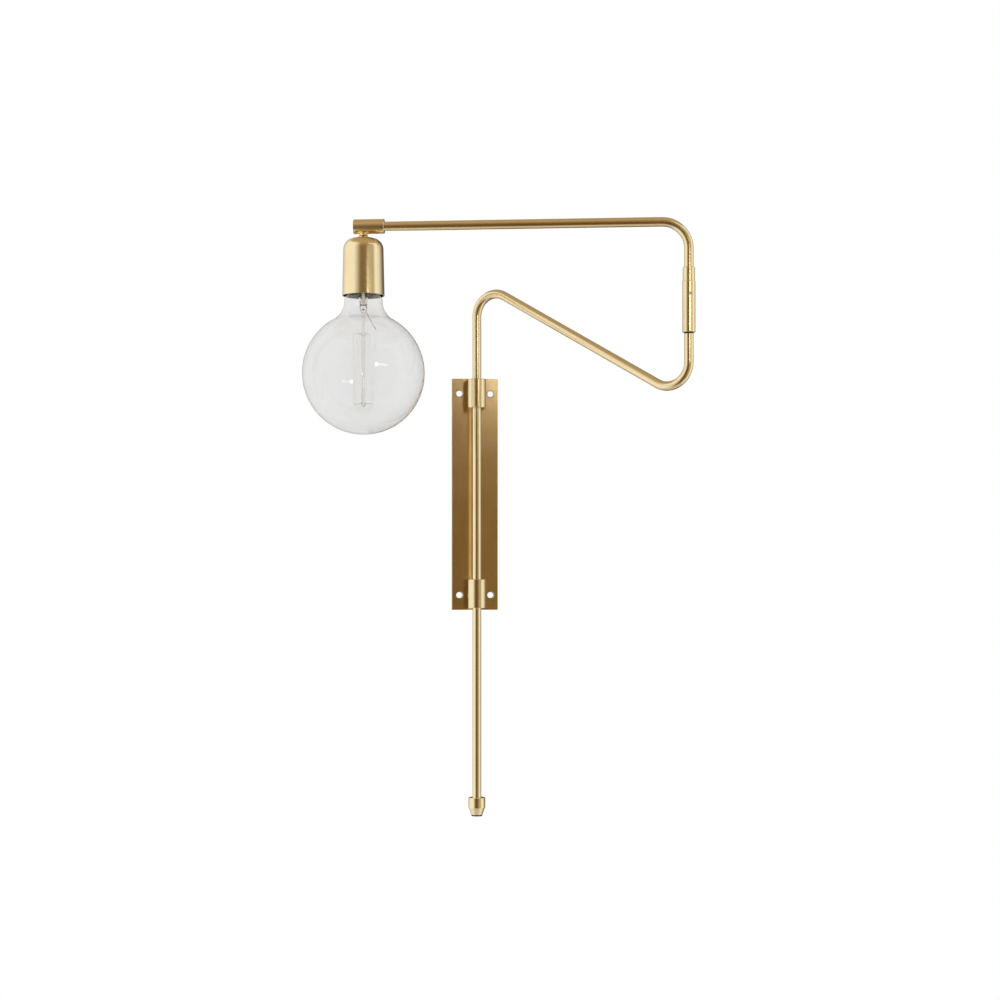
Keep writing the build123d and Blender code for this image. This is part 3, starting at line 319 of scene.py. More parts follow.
@dataclass(frozen=True)
class GlassFinish:
    """Clear blown glass, with the faint waves that blowing leaves."""

    name: str
    tint: Colour
    streak: Colour
    refraction: float = 1.45
    haze: float = 0.012
    wave_cells: tuple[float, float, float] = (26.0, 26.0, 9.1)
    wave_depth: float = 0.0004
    wave_strength: float = 0.05

    def material(self) -> bpy.types.Material:
        """Build the finish from nodes.

        Returns:
            The material.
        """
        bench = NodeBench(self.name)
        waves = bench.noise(self.wave_cells, 2.0)
        shader = bench.surface(Transmission_Weight=1.0, IOR=self.refraction)
        colour = bench.blend(bench.spread(waves, 0.0, 1.0), self.tint, self.streak)
        bench.join(colour, shader.inputs["Base Color"])
        bench.join(bench.spread(waves, 0.0, self.haze), shader.inputs["Roughness"])
        relief = bench.relief(waves, self.wave_depth, self.wave_strength)
        bench.join(relief, shader.inputs["Normal"])
        return bench.material


class FinishRack:
    """Every finish of the lamp, built once and handed out by name."""

    def __init__(self) -> None:
        """Build the finishes."""
        brass = {"bright": (0.94, 0.785, 0.485), "toned": (0.9, 0.735, 0.435)}
        # The wall plate takes a darker copy of the brass colours: painted shade for the dim room
        # that the flat plate mirrors.
        plate_brass_with_painted_shade = {"bright": (0.84, 0.645, 0.36), "toned": (0.76, 0.555, 0.285)}
        finishes = (
            MetalFinish(
                "brass_brushed_plate",
                roughness=0.2,
                grain=Grain.UPRIGHT,
                line_shade=0.9,
                line_strength=0.2,
                **plate_brass_with_painted_shade,
            ),
            MetalFinish("brass_turned", roughness=0.2, grain=Grain.TURNED, **brass),
            MetalFinish("brass_tube", roughness=0.2, grain=Grain.EVEN, line_shade=0.992, **brass),
            MetalFinish("zinc_steel", grey(0.56), (0.48, 0.49, 0.5), 0.34, Grain.EVEN),
            MetalFinish(
                "stamped_contact_brass", (0.78, 0.62, 0.33), (0.7, 0.52, 0.26), 0.36, Grain.EVEN
            ),
            MetalFinish("nickel_cap", (0.74, 0.72, 0.68), (0.66, 0.64, 0.6), 0.24, Grain.TURNED),
            MetalFinish("drawn_wire", (0.5, 0.47, 0.44), (0.4, 0.37, 0.34), 0.4, Grain.EVEN),
            MetalFinish("carbon_filament", (0.42, 0.27, 0.22), (0.34, 0.2, 0.16), 0.6, Grain.EVEN),
            MouldedFinish("black_plastic", grey(0.02), grey(0.032), 0.45),
            MouldedFinish("glazed_ceramic", (0.86, 0.85, 0.81), (0.81, 0.79, 0.74), 0.3, 0.7),
            MouldedFinish("black_cap_glass", (0.012, 0.012, 0.02), (0.02, 0.018, 0.03), 0.12, 0.5),
            MouldedFinish("seal_glass", (0.05, 0.045, 0.04), (0.09, 0.08, 0.07), 0.3),
            GlassFinish("clear_globe_glass", (0.885, 0.886, 0.882), (0.87, 0.872, 0.87)),
            GlassFinish("stem_glass", (0.95, 0.93, 0.89), (0.89, 0.86, 0.81), refraction=1.5),
        )
        self.materials = {finish.name: finish.material() for finish in finishes}

    def dress(self, piece: bpy.types.Object, finish: str) -> None:
        """Give a piece one finish all over.

        Args:
            piece: A mesh or curve object.
            finish: The finish's name.
        """
        piece.data.materials.clear()
        piece.data.materials.append(self.materials[finish])

    def dress_nodes(self, finish: str, *nodes: str) -> None:
        """Give CAD nodes a finish and report each.

        Args:
            finish: The finish's name.
            nodes: The nodes' names.
        """
        for node in nodes:
            self.dress(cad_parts[node], finish)
            log.info("dressed %s in %s", node, finish)


def mesh_piece(
    name: str, points: Sequence[Vector], faces: Sequence[Sequence[int]]
) -> bpy.types.Object:
    """Make a smooth mesh object in the lamp's own frame.

    Args:
        name: The piece's name.
        points: Its points, in metres.
        faces: The points of each face.

    Returns:
        The new object.
    """
    mesh = bpy.data.meshes.new(name)
    mesh.from_pydata([tuple(point) for point in points], [], [tuple(face) for face in faces])
    shell = bmesh.new()
    shell.from_mesh(mesh)
    bmesh.ops.remove_doubles(shell, verts=shell.verts, dist=SAME_PLACE)
    bmesh.ops.recalc_face_normals(shell, faces=shell.faces)
    for face in shell.faces:
        face.smooth = True
    shell.to_mesh(mesh)
    shell.free()
    piece = bpy.data.objects.new(name, mesh)
    bpy.context.scene.collection.objects.link(piece)
    return piece


def arc_outline(
    centre: Point, radius: float, start: float, end: float, steps: int
) -> list[Point]:
    """Points along an arc of an outline.

    Args:
        centre: The arc's centre, as radius and height.
        radius: The arc's radius.
        start: The first point's angle in degrees.
        end: The last point's angle in degrees.
        steps: How many runs the arc has.

    Returns:
        The points.
    """
    angles = [math.radians(start + (end - start) * step / steps) for step in range(steps + 1)]
    return [(centre[0] + radius * math.cos(a), centre[1] + radius * math.sin(a)) for a in angles]


def fixed_point(at: Point) -> ShapedPoint:
    """A point of an outline that stays the same all the way round."""
    return lambda angle: at


@dataclass
class Lathe:
    """Turns outlines about an upright axis."""

    foot: Vector
    segments: int = 96

    def point(self, angle: float, radius: float, height: float) -> Vector:
        """A point by its angle in radians, radius and height in millimetres, in metres."""
        return self.foot + Vector((radius * math.cos(angle), radius * math.sin(angle), height)) * MM

    def turn(self, name: str, outline: Sequence[Point]) -> bpy.types.Object:
        """Turn an open outline into a mesh.

        Args:
            name: The piece's name.
            outline: Points of radius and height in millimetres.

        Returns:
            The new object.
        """
        return self.turn_shaped(name, [fixed_point(at) for at in outline])

    def turn_shaped(self, name: str, outline: Sequence[ShapedPoint]) -> bpy.types.Object:
        """Turn an open outline whose points move as it goes round.

        Args:
            name: The piece's name.
            outline: For each point, a function from the angle to its radius and height.

        Returns:
            The new object.
        """
        points, faces = [], []
        count = len(outline)
        for step in range(self.segments):
            angle = 2 * math.pi * step / self.segments
            points += [self.point(angle, *place(angle)) for place in outline]
        for step in range(self.segments):
            here, after = step * count, (step + 1) % self.segments * count
            for row in range(count - 1):
                faces.append((here + row, after + row, after + row + 1, here + row + 1))
        return mesh_piece(name, points, faces)


def wire(name: str, runs: Sequence[Sequence[Vector]], diameter: float) -> bpy.types.Object:
    """Make round wires that pass smoothly through points.

    Args:
        name: The piece's name.
        runs: The points of each wire, in metres.
        diameter: The wires' diameter in millimetres.

    Returns:
        The new curve object.
    """
    curve = bpy.data.curves.new(name, "CURVE")
    curve.dimensions = "3D"
    curve.bevel_depth = diameter / 2 * MM
    curve.bevel_resolution = 3
    curve.use_fill_caps = True
    curve.resolution_u = 6
    for run in runs:
        spline = curve.splines.new("NURBS")
        spline.points.add(len(run) - 1)
        for point, place in zip(spline.points, run):
            point.co = (*place, 1.0)
        spline.order_u = min(3, len(run))
        spline.use_endpoint_u = True
    piece = bpy.data.objects.new(name, curve)
    bpy.context.scene.collection.objects.link(piece)
    return piece


@dataclass
class SubAssembly:
    """Some of the lamp's CAD nodes, and the finish that each of them takes."""

    brushed: tuple[str, ...] = ()
    turned: tuple[str, ...] = ()
    tubes: tuple[str, ...] = ()
    zinc: tuple[str, ...] = ()
    stamped: tuple[str, ...] = ()
    plastic: tuple[str, ...] = ()
    ceramic: tuple[str, ...] = ()
    nickel: tuple[str, ...] = ()
    cap_glass: tuple[str, ...] = ()

    def dress(self, rack: FinishRack) -> None:
        """Give the nodes their finishes.

        Args:
            rack: The finishes.
        """
        rack.dress_nodes("brass_brushed_plate", *self.brushed)
        rack.dress_nodes("brass_turned", *self.turned)
        rack.dress_nodes("brass_tube", *self.tubes)
        rack.dress_nodes("zinc_steel", *self.zinc)
        rack.dress_nodes("stamped_contact_brass", *self.stamped)
        rack.dress_nodes("black_plastic", *self.plastic)
        rack.dress_nodes("glazed_ceramic", *self.ceramic)
        rack.dress_nodes("nickel_cap", *self.nickel)
        rack.dress_nodes("black_cap_glass", *self.cap_glass)


@dataclass
class WallBracket(SubAssembly):
    """Wall plate, the two post sleeves and their screws."""

    brushed: tuple[str, ...] = ("wall_plate",)
    turned: tuple[str, ...] = ("upper_post_sleeve", "lower_post_sleeve")
    zinc: tuple[str, ...] = ("sleeve_screws", "bush_retaining_screws")


@dataclass
class PostBushes(SubAssembly):
    """The split bushes that turn in the sleeves and let the post slide."""

    plastic: tuple[str, ...] = ("upper_bush", "lower_bush")


@dataclass
class LowerArm(SubAssembly):
    """Post, slope and elbow tube, with the cord gland and the hinge pin."""

    turned: tuple[str, ...] = ("gland_body", "gland_nut")
    tubes: tuple[str, ...] = ("lower_arm_tube",)
    zinc: tuple[str, ...] = ("hinge_pin", "hinge_retaining_ring")
    plastic: tuple[str, ...] = ("gland_insert", "thrust_washer")


@dataclass
class UpperArm(SubAssembly):
    """Hinge sleeve, collar and the tube that carries the head."""

    turned: tuple[str, ...] = ("hinge_sleeve", "hinge_collar")
    tubes: tuple[str, ...] = ("upper_arm_tube",)
    zinc: tuple[str, ...] = ("hinge_stop_screw",)
    plastic: tuple[str, ...] = ("lower_hinge_bush", "upper_hinge_bush")


@dataclass
class LampHead(SubAssembly):
    """Connector, neck, turned cup and the lamp holder inside it."""

    turned: tuple[str, ...] = ("holder_cup", "neck_collar")
    tubes: tuple[str, ...] = ("connector", "connector_end_cap")
    zinc: tuple[str, ...] = (
        "connector_grub_screw",
        "neck_nipple",
        "holder_lock_nut",
        "mounting_bridge",
        "bridge_screws",
    )
    stamped: tuple[str, ...] = ("screw_shell", "centre_contact", "terminal_screws")
    ceramic: tuple[str, ...] = ("holder_body",)


@dataclass
class Bulb(SubAssembly):
    """Globe bulb: blown glass, stem, support wires, filament and screw cap.

    Lengths are in millimetres, and heights stand above the globe's centre.
    """

    nickel: tuple[str, ...] = ("screw_cap", "tip_contact")
    cap_glass: tuple[str, ...] = ("cap_insulator",)
    body: str = "bulb"
    globe_segments: int = 160
    stem_segments: int = 48
    globe_radius: float = 62.48
    glass_wall: float = 0.5
    neck_radius: float = 19.5
    neck_fillet: float = 22.0
    neck_straight: float = 0.4
    shoulder_radius: float = 12.0
    top_radius: float = 12.78
    top_height: float = 95.6
    stem_radius: float = 4.5
    stem_wall: float = 0.9
    flare_radius: float = 14.92
    flare_start: float = 80.0
    stem_closed: float = 73.2
    exhaust_radius: float = 1.6
    exhaust_top: float = 90.0
    exhaust_bore: float = 0.95
    seal_depth: float = 8.6
    press_width: float = 3.7
    press_thickness: float = 1.8
    press_length: float = 11.0
    rod_radius: float = 1.75
    rod_tip_radius: float = 1.3125
    rod_tip: float = 3.0
    upper_hub: float = 40.0
    lower_hub: float = -31.0
    upper_swell: float = 1.1
    lower_swell: float = 0.8
    swell_height: float = 2.0
    hub_foot: float = 2.6
    hub_top: float = 2.7
    wire_diameter: float = 0.2
    lead_diameter: float = 0.34
    filament_diameter: float = 0.045
    support_reach: float = 10.0
    hook: float = 1.5
    filament_grip: float = 0.5
    lead_depth: float = 10.6
    lead_angle: float = 12.0
    lead_reach: float = 12.5
    lead_end: float = 45.0
    first_side: float = -12.0
    lathe: Lathe = field(init=False)

    def __post_init__(self) -> None:
        """Find the globe's centre from the CAD glass."""
        low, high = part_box("glass_globe")
        foot = (low + high) / 2
        foot.z = high.z - self.top_height * MM
        self.lathe = Lathe(foot)

    def place(self, angle: float, radius: float, height: float) -> Vector:
        """A point in metres, by its angle in degrees from the elbow's side, radius and height."""
        return self.lathe.point(math.radians(self.first_side + angle), radius, height)

    def glass_outline(self, inset: float) -> list[Point]:
        """One surface of the glass, from the bottom up.

        Args:
            inset: How far it lies inside the outer surface.

        Returns:
            Points of radius and height.
        """
        fillet_x = self.neck_radius + self.neck_fillet
        fillet_height = math.sqrt((self.globe_radius + self.neck_fillet) ** 2 - fillet_x**2)
        meeting = math.degrees(math.atan2(fillet_height, fillet_x))
        shoulder_x = self.neck_radius - self.shoulder_radius
        shoulder_inner = self.shoulder_radius - inset
        top = self.top_radius - inset
        lean = math.degrees(math.acos((top - shoulder_x) / shoulder_inner))
        fillet = (fillet_x, fillet_height)
        shoulder = (shoulder_x, fillet_height + self.neck_straight)
        outline = arc_outline((0, 0), self.globe_radius - inset, -90, meeting, 96)
        outline += arc_outline(fillet, self.neck_fillet + inset, 180 + meeting, 180, 20)
        outline += arc_outline(shoulder, shoulder_inner, 0, lean, 12)
        return outline + [(top, self.top_height)]

    def fit(self, piece: bpy.types.Object, slot: str, *nodes: str) -> None:
        """Let a piece ride with the bulb, and report it.

        Args:
            piece: The piece.
            slot: Not used.
            nodes: The CAD nodes that it stands for.
        """
        if nodes:
            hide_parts(*nodes)
        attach(piece, self.body)
        log.info("made %s", piece.name)

    def blow_glass(self, rack: FinishRack) -> None:
        """Make the globe as one thin shell, and let it stand for the CAD glass.

        Args:
            rack: The finishes.
        """
        outline = self.glass_outline(0.0) + self.glass_outline(self.glass_wall)[::-1]
        self.lathe.segments = self.globe_segments
        glass = self.lathe.turn("blown_globe", outline)
        rack.dress(glass, "clear_globe_glass")
        self.fit(glass, "glass", "glass_globe")

    def flattened(self, width: float, thickness: float, height: float) -> ShapedPoint:
        """A point of an outline that is pressed flat.

        Args:
            width: Its radius towards the lead wires.
            thickness: Its radius across them.
            height: Its height.

        Returns:
            The point, as a function of the angle.
        """

        def place(angle: float) -> Point:
            """The pressed form at one angle.

            Args:
                angle: The angle in radians.

            Returns:
                Its radius there, and its height.
            """
            turned = angle - math.radians(self.first_side)
            across, along = math.sin(turned) / thickness, math.cos(turned) / width
            return (1 / math.hypot(across, along), height)

        return place

    def rod_outline(self) -> list[Point]:
        """The rod's surface.

        Returns:
            Points from its tip up over the two hubs to the press.
        """
        rod = self.rod_radius
        outline = [(0.0, self.lower_hub - self.rod_tip)]
        hubs = (
            (self.lower_hub, self.lower_swell, self.rod_tip_radius),
            (self.upper_hub, self.upper_swell, rod),
        )
        for hub, swell, foot in hubs:
            outline.append((foot, hub - self.hub_foot))
            for turn in range(-75, 76, 25):
                height = hub + self.swell_height * turn / 90
                outline.append((rod + swell * math.cos(math.radians(turn)), height))
            outline.append((rod, hub + self.hub_top))
        return outline + [(rod, self.stem_closed - self.press_length - 0.6)]

    def press_outline(self) -> list[ShapedPoint]:
        """The press, flat where it holds the wires and round again at the tube.

        Returns:
            Its points from the rod up to the tube.
        """
        foot, tube = self.stem_closed - self.press_length, self.stem_radius
        rows = ((0.62, 1.0, 0.4), (0.86, 1.0, 1.0), (1.0, 1.0, 2.4), (1.02, 1.04, 6.2))
        press = [
            self.flattened(self.press_width * wide, self.press_thickness * thick, foot + rise)
            for wide, thick, rise in rows
        ]
        press.append(self.flattened(tube * 0.92, tube * 0.62, self.stem_closed - 2.6))
        return press + [self.flattened(tube, tube * 0.9, self.stem_closed - 0.9)]

    def tube_outline(self) -> list[Point]:
        """The flared tube and the exhaust tube in it.

        Returns:
            Points up the outside, down the bore and round the exhaust tube.
        """
        tube, bore = self.stem_radius, self.stem_radius - self.stem_wall
        closed, exhaust, inside = self.stem_closed, self.exhaust_radius, self.exhaust_bore
        flare = (tube + self.flare_radius, self.flare_start)
        outline = [(tube, closed + 1.0), (tube, self.flare_start)]
        outline += arc_outline(flare, self.flare_radius, 180, 120, 10)
        outline += arc_outline(flare, self.flare_radius + self.stem_wall, 120, 180, 10)
        outline += [(bore, closed), (bore - 0.25, closed - 1.6), (bore - 0.95, closed - 2.4)]
        outline += [(exhaust + 0.3, closed - 1.7), (exhaust, closed)]
        outline += [(exhaust, self.exhaust_top), (exhaust - 0.25, self.exhaust_top + 0.3)]
        outline += [(inside, self.exhaust_top), (inside, closed + 0.6)]
        return outline + [(0.6, closed - 0.6), (0.0, closed - 0.9)]

    def draw_stem(self, rack: FinishRack) -> None:
        """Make the stem: flared tube with its exhaust tube, pinched press, and rod.

        Args:
            rack: The finishes.
        """
        self.lathe.segments = self.stem_segments
        outline = [*map(fixed_point, self.rod_outline()), *self.press_outline()]
        outline += map(fixed_point, self.tube_outline())
        stem = self.lathe.turn_shaped("drawn_stem", outline)
        rack.dress(stem, "stem_glass")
        self.fit(stem, "glass", "stem")
        middle = (0, self.stem_closed - self.seal_depth)
        seal = self.lathe.turn("exhaust_seal", arc_outline(middle, self.exhaust_bore, -90, 90, 10))
        rack.dress(seal, "seal_glass")
        self.fit(seal, "wire")

    def support_runs(
        self, angles: Sequence[float], hub: float, hook: float
    ) -> list[list[Vector]]:
        """The points of one hub's supports, each with a hook at its tip.

        Args:
            angles: Where the supports stand round the rod.
            hub: The hub's height.
            hook: How far the hooks rise, or hang where it is negative.

        Returns:
            The points of each support.
        """
        reach = self.support_reach
        bends = (
            (self.rod_radius * 0.8, 0.0),
            (reach * 0.6, 0.0),
            (reach + 0.35, -0.1),
            (reach + 0.35, 0.9),
            (reach - 0.5, 1.0),
            (reach - 0.6, 0.45),
        )
        return [
            [self.place(angle, radius, hub + hook * rise) for radius, rise in bends]
            for angle in angles
        ]

    def lead_runs(self) -> list[list[Vector]]:
        """The two lead wires, of which the second first goes round the press.

        Returns:
            The points of each wire.
        """
        foot = self.stem_closed - self.lead_depth
        runs = []
        for side, start in ((1, 0.0), (-1, 180.0)):
            angle, reach = side * self.lead_angle, self.lead_reach
            run = [self.place(start, 2.3, foot + 1.4), self.place(start, 2.5, foot - 0.4)]
            if start:
                run.append(self.place(-90, 2.6, foot - 1.6))
            run.append(self.place(angle / 2, 3.8, foot - 2.2))
            run.append(self.place(angle, reach - 0.5, self.lead_end + 0.7))
            run.append(self.place(angle, reach + 0.5, self.lead_end - 0.4))
            run.append(self.place(angle, reach + 0.4, self.lead_end + self.hook))
            runs.append(run)
        return runs

    def bend_wires(self, rack: FinishRack) -> None:
        """Bend the supports and the two lead wires, and hang the filament.

        Args:
            rack: The finishes.
        """
        upper_angles = [60.0 * step for step in range(1, 6)]
        lower_angles = [60.0 * step + 30.0 for step in range(6)]
        for name, angles, hub, hook in (
            ("upper_support", upper_angles, self.upper_hub, self.hook),
            ("lower_support", lower_angles, self.lower_hub, -self.hook),
        ):
            runs = self.support_runs(angles, hub, hook)
            supports = wire(f"bent_{name}s", runs, self.wire_diameter)
            rack.dress(supports, "drawn_wire")
            self.fit(supports, "wire", f"{name}_wires")
        leads = wire("bent_leads", self.lead_runs(), self.lead_diameter)
        rack.dress(leads, "drawn_wire")
        self.fit(leads, "wire", "lead_wires")
        self.hang_filament(rack, upper_angles, lower_angles)

    def hang_filament(
        self, rack: FinishRack, upper: Sequence[float], lower: Sequence[float]
    ) -> None:
        """Thread the filament from lead to lead through the hooks.

        Args:
            rack: The finishes.
            upper: Where the upper supports stand round the rod.
            lower: Where the lower supports stand.
        """
        grip = self.support_reach + self.filament_grip
        end = self.lead_reach + self.filament_grip
        stops = [(self.lead_angle, end, self.lead_end)]
        for low_angle, high_angle in zip(lower, upper):
            stops += [(low_angle, grip, self.lower_hub), (high_angle, grip, self.upper_hub)]
        stops += [(lower[-1], grip, self.lower_hub), (-self.lead_angle, end, self.lead_end)]
        strands = []
        for first, last in zip(stops, stops[1:]):
            turn = (last[0] - first[0] + 180) % 360 - 180
            radius, height = (first[1] + last[1]) / 2, (first[2] + last[2]) / 2
            middle = self.place(first[0] + turn / 2, radius, height)
            strands.append([self.place(*first), middle, self.place(*last)])
        filament = wire("zigzag_filament", strands, self.filament_diameter)
        rack.dress(filament, "carbon_filament")
        self.fit(filament, "wire", "filament")


@dataclass(frozen=True)
class StudioCard:
    """A lit or dim card that metal and glass mirror, on a sphere round the lamp.

    Azimuths run right of the camera and elevations above the horizon, in degrees. The shades
    are pairs of an elevation and the card's light there. The fades say how far in from its
    first and last azimuth the card melts into the white round it.
    """

    name: str
    azimuths: tuple[float, float]
    shades: tuple[tuple[float, Colour], ...]
    fades: tuple[float, float] = (0.0, 0.0)
    radius: float = 1.15
    strength: float = 1.0
    seen_by: SeenBy = SeenBy.MIRRORS

    def light(self, azimuth: float, elevation: float) -> Colour:
        """The card's light at one place.

        Args:
            azimuth: The place's angle right of the camera.
            elevation: Its angle above the horizon.

        Returns:
            The light's colour.
        """
        shade = self.shades[-1][1]
        for (low, below), (high, above) in zip(self.shades, self.shades[1:]):
            if elevation <= high:
                share = (elevation - low) / (high - low)
                shade = tuple(b + (a - b) * share for b, a in zip(below, above))
                break
        cover = 1.0
        first, last = self.azimuths
        for inward, fade in zip((azimuth - first, last - azimuth), self.fades):
            if fade:
                cover = min(cover, inward / fade)
        return tuple(1.0 + (value - 1.0) * cover for value in shade)


@dataclass
class PhotoCamera:
    """The camera, at the photograph's place and direction."""

    azimuth: float = -7.2
    distance: float = 2.0
    height: float = -0.097
    lens: float = 66.4
    sensor: float = 36.0
    shift_x: float = 0.0254
    shift_y: float = 0.084
    nearest: float = 0.05
    farthest: float = 50.0

    def towards(self) -> Vector:
        """The level direction from the lamp to the camera."""
        angle = math.radians(self.azimuth)
        return Vector((math.sin(angle), -math.cos(angle), 0.0))

    def place(self) -> None:
        """Make the camera and give it to the scene."""
        lens = bpy.data.cameras.new("photo_camera")
        lens.lens = self.lens
        lens.sensor_width = self.sensor
        lens.shift_x = self.shift_x
        lens.shift_y = self.shift_y
        lens.clip_start = self.nearest
        lens.clip_end = self.farthest
        camera = bpy.data.objects.new("photo_camera", lens)
        bpy.context.scene.collection.objects.link(camera)
        camera.location = self.towards() * self.distance + Vector((0.0, 0.0, self.height))
        camera.rotation_mode = "QUATERNION"
        camera.rotation_quaternion = (-self.towards()).to_track_quat("-Z", "Y")
        bpy.context.scene.camera = camera
        log.info("placed the camera")


@dataclass
class Studio:
    """Pale floor, white surroundings, soft lamps and the dim cards that metal mirrors."""

    camera: PhotoCamera
    centre: Vector = field(default_factory=lambda: Vector((0.0, -0.09, -0.05)))
    soft_white: float = 0.7
    lamp_distance: float = 1.9
    card_step: float = 3.0
    floor_level: float = -1.25
    floor_radius: float = 2.1
    floor_fade: float = 1.47
    floor_fade_reach: float = 0.5775
    floor_rings: int = 12
    floor_segments: int = 64
    cards: tuple[StudioCard, ...] = (
        StudioCard(
            "front_card",
            (-52.0, 9.0),
            (
                (-52.0, (0.18, 0.105, 0.04)),
                (-11.0, (0.11, 0.065, 0.015)),
                (3.0, (0.12, 0.075, 0.02)),
                (16.0, (0.16, 0.11, 0.045)),
                (25.0, (0.21, 0.15, 0.07)),
                (35.0, (0.33, 0.225, 0.12)),
                (48.0, (0.4, 0.28, 0.155)),
                (63.0, (0.46, 0.34, 0.2)),
            ),
            fades=(32.0, 0.0),
        ),
        StudioCard(
            "front_right_card",
            (9.0, 27.0),
            (
                (-52.0, (0.24, 0.155, 0.065)),
                (12.0, (0.25, 0.165, 0.07)),
                (24.0, (0.29, 0.21, 0.11)),
                (63.0, (0.46, 0.34, 0.2)),
            ),
        ),
        StudioCard(
            "right_side_card",
            (27.0, 68.0),
            ((-42.0, (0.48, 0.42, 0.3)), (46.0, (0.48, 0.43, 0.3))),
            fades=(0.0, 12.0),
        ),
        StudioCard(
            "right_back_card",
            (90.0, 187.0),
            ((-60.0, (0.13, 0.12, 0.1)), (62.0, (0.15, 0.13, 0.11))),
            fades=(48.0, 0.0),
        ),
        StudioCard(
            "left_back_card",
            (-173.0, -104.0),
            ((-60.0, (0.5, 0.49, 0.46)), (62.0, (0.5, 0.48, 0.45))),
            fades=(0.0, 50.0),
        ),
        StudioCard(
            "ceiling_card",
            (-180.0, 180.0),
            ((54.0, (0.5, 0.38, 0.24)), (63.0, (0.48, 0.37, 0.24)), (89.5, (0.42, 0.33, 0.22))),
            radius=1.14,
        ),
        StudioCard(
            "floor_card",
            (-180.0, 180.0),
            ((-89.5, (0.62, 0.57, 0.53)), (-54.0, (0.62, 0.56, 0.52))),
        ),
        StudioCard(
            "lamp_card",
            (17.0, 24.0),
            ((15.5, grey(1.0)), (22.5, grey(1.0))),
            radius=1.13,
            strength=4.8,
        ),
        StudioCard(
            "lamp_wing_card",
            (24.0, 42.0),
            ((17.0, grey(1.0)), (21.0, grey(1.0))),
            radius=1.13,
            strength=2.2,
        ),
        StudioCard(
            "lamp_glint_card",
            (17.0, 24.0),
            ((15.5, grey(1.0)), (22.5, grey(1.0))),
            radius=1.12,
            strength=11.0,
            seen_by=SeenBy.GLASS,
        ),
        StudioCard(
            "wing_glint_card",
            (24.0, 42.0),
            ((17.0, grey(1.0)), (21.0, grey(1.0))),
            radius=1.12,
            strength=4.0,
            seen_by=SeenBy.GLASS,
        ),
    )

    def direction(self, azimuth: float, elevation: float) -> Vector:
        """A direction from the lamp's middle.

        Args:
            azimuth: Its angle right of the camera, in degrees.
            elevation: Its angle above the horizon, in degrees.

        Returns:
            The direction.
        """
        front = self.camera.towards()
        right = Vector((-front.y, front.x, 0.0))
        turn, lift = math.radians(azimuth), math.radians(elevation)
        level = front * math.cos(turn) + right * math.sin(turn)
        return level * math.cos(lift) + Vector((0.0, 0.0, math.sin(lift)))

    def surroundings(self) -> None:
        """Light all round, seen as plain white behind the lamp and in metal and glass."""
        world = bpy.data.worlds.new("studio_white")
        bpy.context.scene.world = world
        world.use_nodes = True
        tree = world.node_tree
        tree.nodes.clear()
        path = tree.nodes.new("ShaderNodeLightPath")
        seen = tree.nodes.new("ShaderNodeMath")
        seen.operation = "MAXIMUM"
        seen_all = tree.nodes.new("ShaderNodeMath")
        seen_all.operation = "MAXIMUM"
        mix = tree.nodes.new("ShaderNodeMixShader")
        soft = tree.nodes.new("ShaderNodeBackground")
        white = tree.nodes.new("ShaderNodeBackground")
        out = tree.nodes.new("ShaderNodeOutputWorld")
        soft.inputs["Color"].default_value = (1.0, 0.99, 0.97, 1.0)
        soft.inputs["Strength"].default_value = self.soft_white
        white.inputs["Color"].default_value = (1.0, 1.0, 1.0, 1.0)
        white.inputs["Strength"].default_value = 1.0
        tree.links.new(path.outputs["Is Camera Ray"], seen.inputs[0])
        tree.links.new(path.outputs["Is Glossy Ray"], seen.inputs[1])
        tree.links.new(seen.outputs[0], seen_all.inputs[0])
        tree.links.new(path.outputs["Is Transmission Ray"], seen_all.inputs[1])
        tree.links.new(seen_all.outputs[0], mix.inputs["Fac"])
        tree.links.new(soft.outputs[0], mix.inputs[1])
        tree.links.new(white.outputs[0], mix.inputs[2])
        tree.links.new(mix.outputs[0], out.inputs["Surface"])

    def floor(self, rack: FinishRack) -> None:
        """Lay a round pale floor that fades out at its edge.

        Args:
            rack: The finishes, which take the floor's too.
        """
        ring_width = self.floor_radius / MM / self.floor_rings
        outline = [(ring_width * ring, 0.0) for ring in range(self.floor_rings + 1)]
        foot = Vector((self.centre.x, self.centre.y, self.floor_level))
        floor = Lathe(foot, self.floor_segments).turn("pale_floor", outline)
        bench = NodeBench("pale_floor")
        plaster = bench.add("ShaderNodeBsdfDiffuse")
        speckle = bench.spread(bench.noise((30.0,) * 3, 3.0), 0.0, 1.0)
        bench.join(bench.blend(speckle, grey(0.93), grey(0.9)), plaster.inputs["Color"])
        clear = bench.add("ShaderNodeBsdfTransparent")
        mix = bench.add("ShaderNodeMixShader")
        place = bench.add("ShaderNodeTexCoord")
        from_middle = bench.add("ShaderNodeVectorMath", operation="DISTANCE")
        from_middle.inputs[1].default_value = foot
        bench.join(place.outputs["Object"], from_middle.inputs[0])
        middle, reach = self.floor_fade, self.floor_fade_reach
        fade = bench.spread(from_middle.outputs["Value"], 1.0, 0.0, middle, reach)
        bench.join(fade, mix.inputs["Fac"])
        bench.join(clear.outputs[0], mix.inputs[1])
        bench.join(plaster.outputs[0], mix.inputs[2])
        bench.join(mix.outputs[0], bench.output.inputs["Surface"])
        rack.materials["pale_floor"] = bench.material
        rack.dress(floor, "pale_floor")

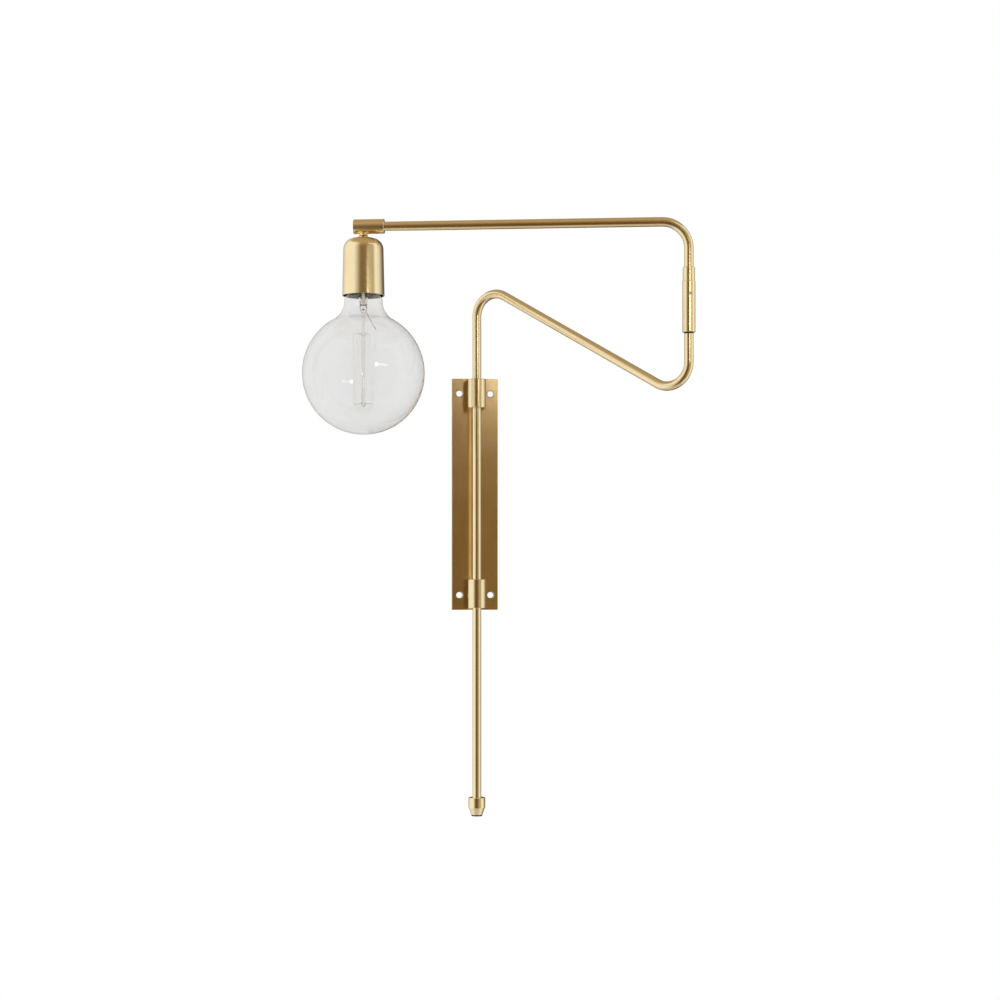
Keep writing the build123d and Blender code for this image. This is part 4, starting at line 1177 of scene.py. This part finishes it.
    def card(self, card: StudioCard) -> None:
        """Hang one card, seen only in reflections or only by rays that have crossed glass.

        Args:
            card: The card.
        """
        low, high = card.shades[0][0], card.shades[-1][0]
        across = card.azimuths[1] - card.azimuths[0]
        rows, columns = (max(2, round(reach / self.card_step)) for reach in (high - low, across))
        points, lights, faces = [], [], []
        for row in range(rows + 1):
            elevation = low + (high - low) * row / rows
            for column in range(columns + 1):
                azimuth = card.azimuths[0] + across * column / columns
                outward = self.direction(azimuth, elevation)
                points.append(tuple(self.centre + outward * card.radius))
                lights += (*card.light(azimuth, elevation), 1.0)
        for row in range(rows):
            for column in range(columns):
                first = row * (columns + 1) + column
                faces.append((first, first + 1, first + columns + 2, first + columns + 1))
        mesh = bpy.data.meshes.new(card.name)
        mesh.from_pydata(points, [], faces)
        mesh.attributes.new("light", "FLOAT_COLOR", "POINT").data.foreach_set("color", lights)
        piece = bpy.data.objects.new(card.name, mesh)
        bpy.context.scene.collection.objects.link(piece)
        bench = NodeBench(card.name)
        light = bench.add("ShaderNodeAttribute", attribute_name="light")
        glow = bench.add("ShaderNodeEmission")
        glow.inputs["Strength"].default_value = card.strength
        bench.join(light.outputs["Color"], glow.inputs["Color"])
        bench.join(glow.outputs[0], bench.output.inputs["Surface"])
        mesh.materials.append(bench.material)
        piece.visible_camera = False
        piece.visible_diffuse = False
        piece.visible_glossy = card.seen_by is SeenBy.MIRRORS
        piece.visible_transmission = card.seen_by is SeenBy.GLASS
        piece.visible_volume_scatter = False
        piece.visible_shadow = False

    def lamp(
        self,
        name: str,
        azimuth: float,
        elevation: float,
        size: tuple[float, float],
        power: float,
    ) -> None:
        """Hang one soft rectangular lamp that faces the lamp's middle.

        Args:
            name: The lamp's name.
            azimuth: Its angle right of the camera.
            elevation: Its angle above the horizon.
            size: Its width and height in metres.
            power: Its power in watts.
        """
        light = bpy.data.lights.new(name, "AREA")
        light.shape = "RECTANGLE"
        light.size, light.size_y = size
        light.energy = power
        fitting = bpy.data.objects.new(name, light)
        bpy.context.scene.collection.objects.link(fitting)
        fitting.visible_glossy = False
        fitting.visible_transmission = False
        outward = self.direction(azimuth, elevation)
        fitting.location = self.centre + outward * self.lamp_distance
        fitting.rotation_mode = "QUATERNION"
        fitting.rotation_quaternion = outward.to_track_quat("Z", "Y")

    def build(self, rack: FinishRack) -> None:
        """Set up the whole studio.

        Args:
            rack: The finishes.
        """
        self.surroundings()
        self.floor(rack)
        for card in self.cards:
            self.card(card)
        self.lamp("left_softbox", -75, 18, (1.5, 1.8), 12.0)
        self.lamp("right_softbox", 88, 14, (1.1, 1.8), 12.0)
        bpy.context.scene.view_settings.view_transform = "Standard"
        log.info("built the studio")


def main() -> None:
    """Build the lamp's looks, part by part, and the studio round them."""
    logging.basicConfig(level=logging.INFO, format="%(name)s: %(message)s")
    rack = FinishRack()
    bulb = Bulb()
    for part in (WallBracket(), PostBushes(), LowerArm(), UpperArm(), LampHead(), bulb):
        part.dress(rack)
    bulb.blow_glass(rack)
    bulb.draw_stem(rack)
    bulb.bend_wires(rack)
    camera = PhotoCamera()
    camera.place()
    Studio(camera).build(rack)


if __name__ == "__main__":
    main()
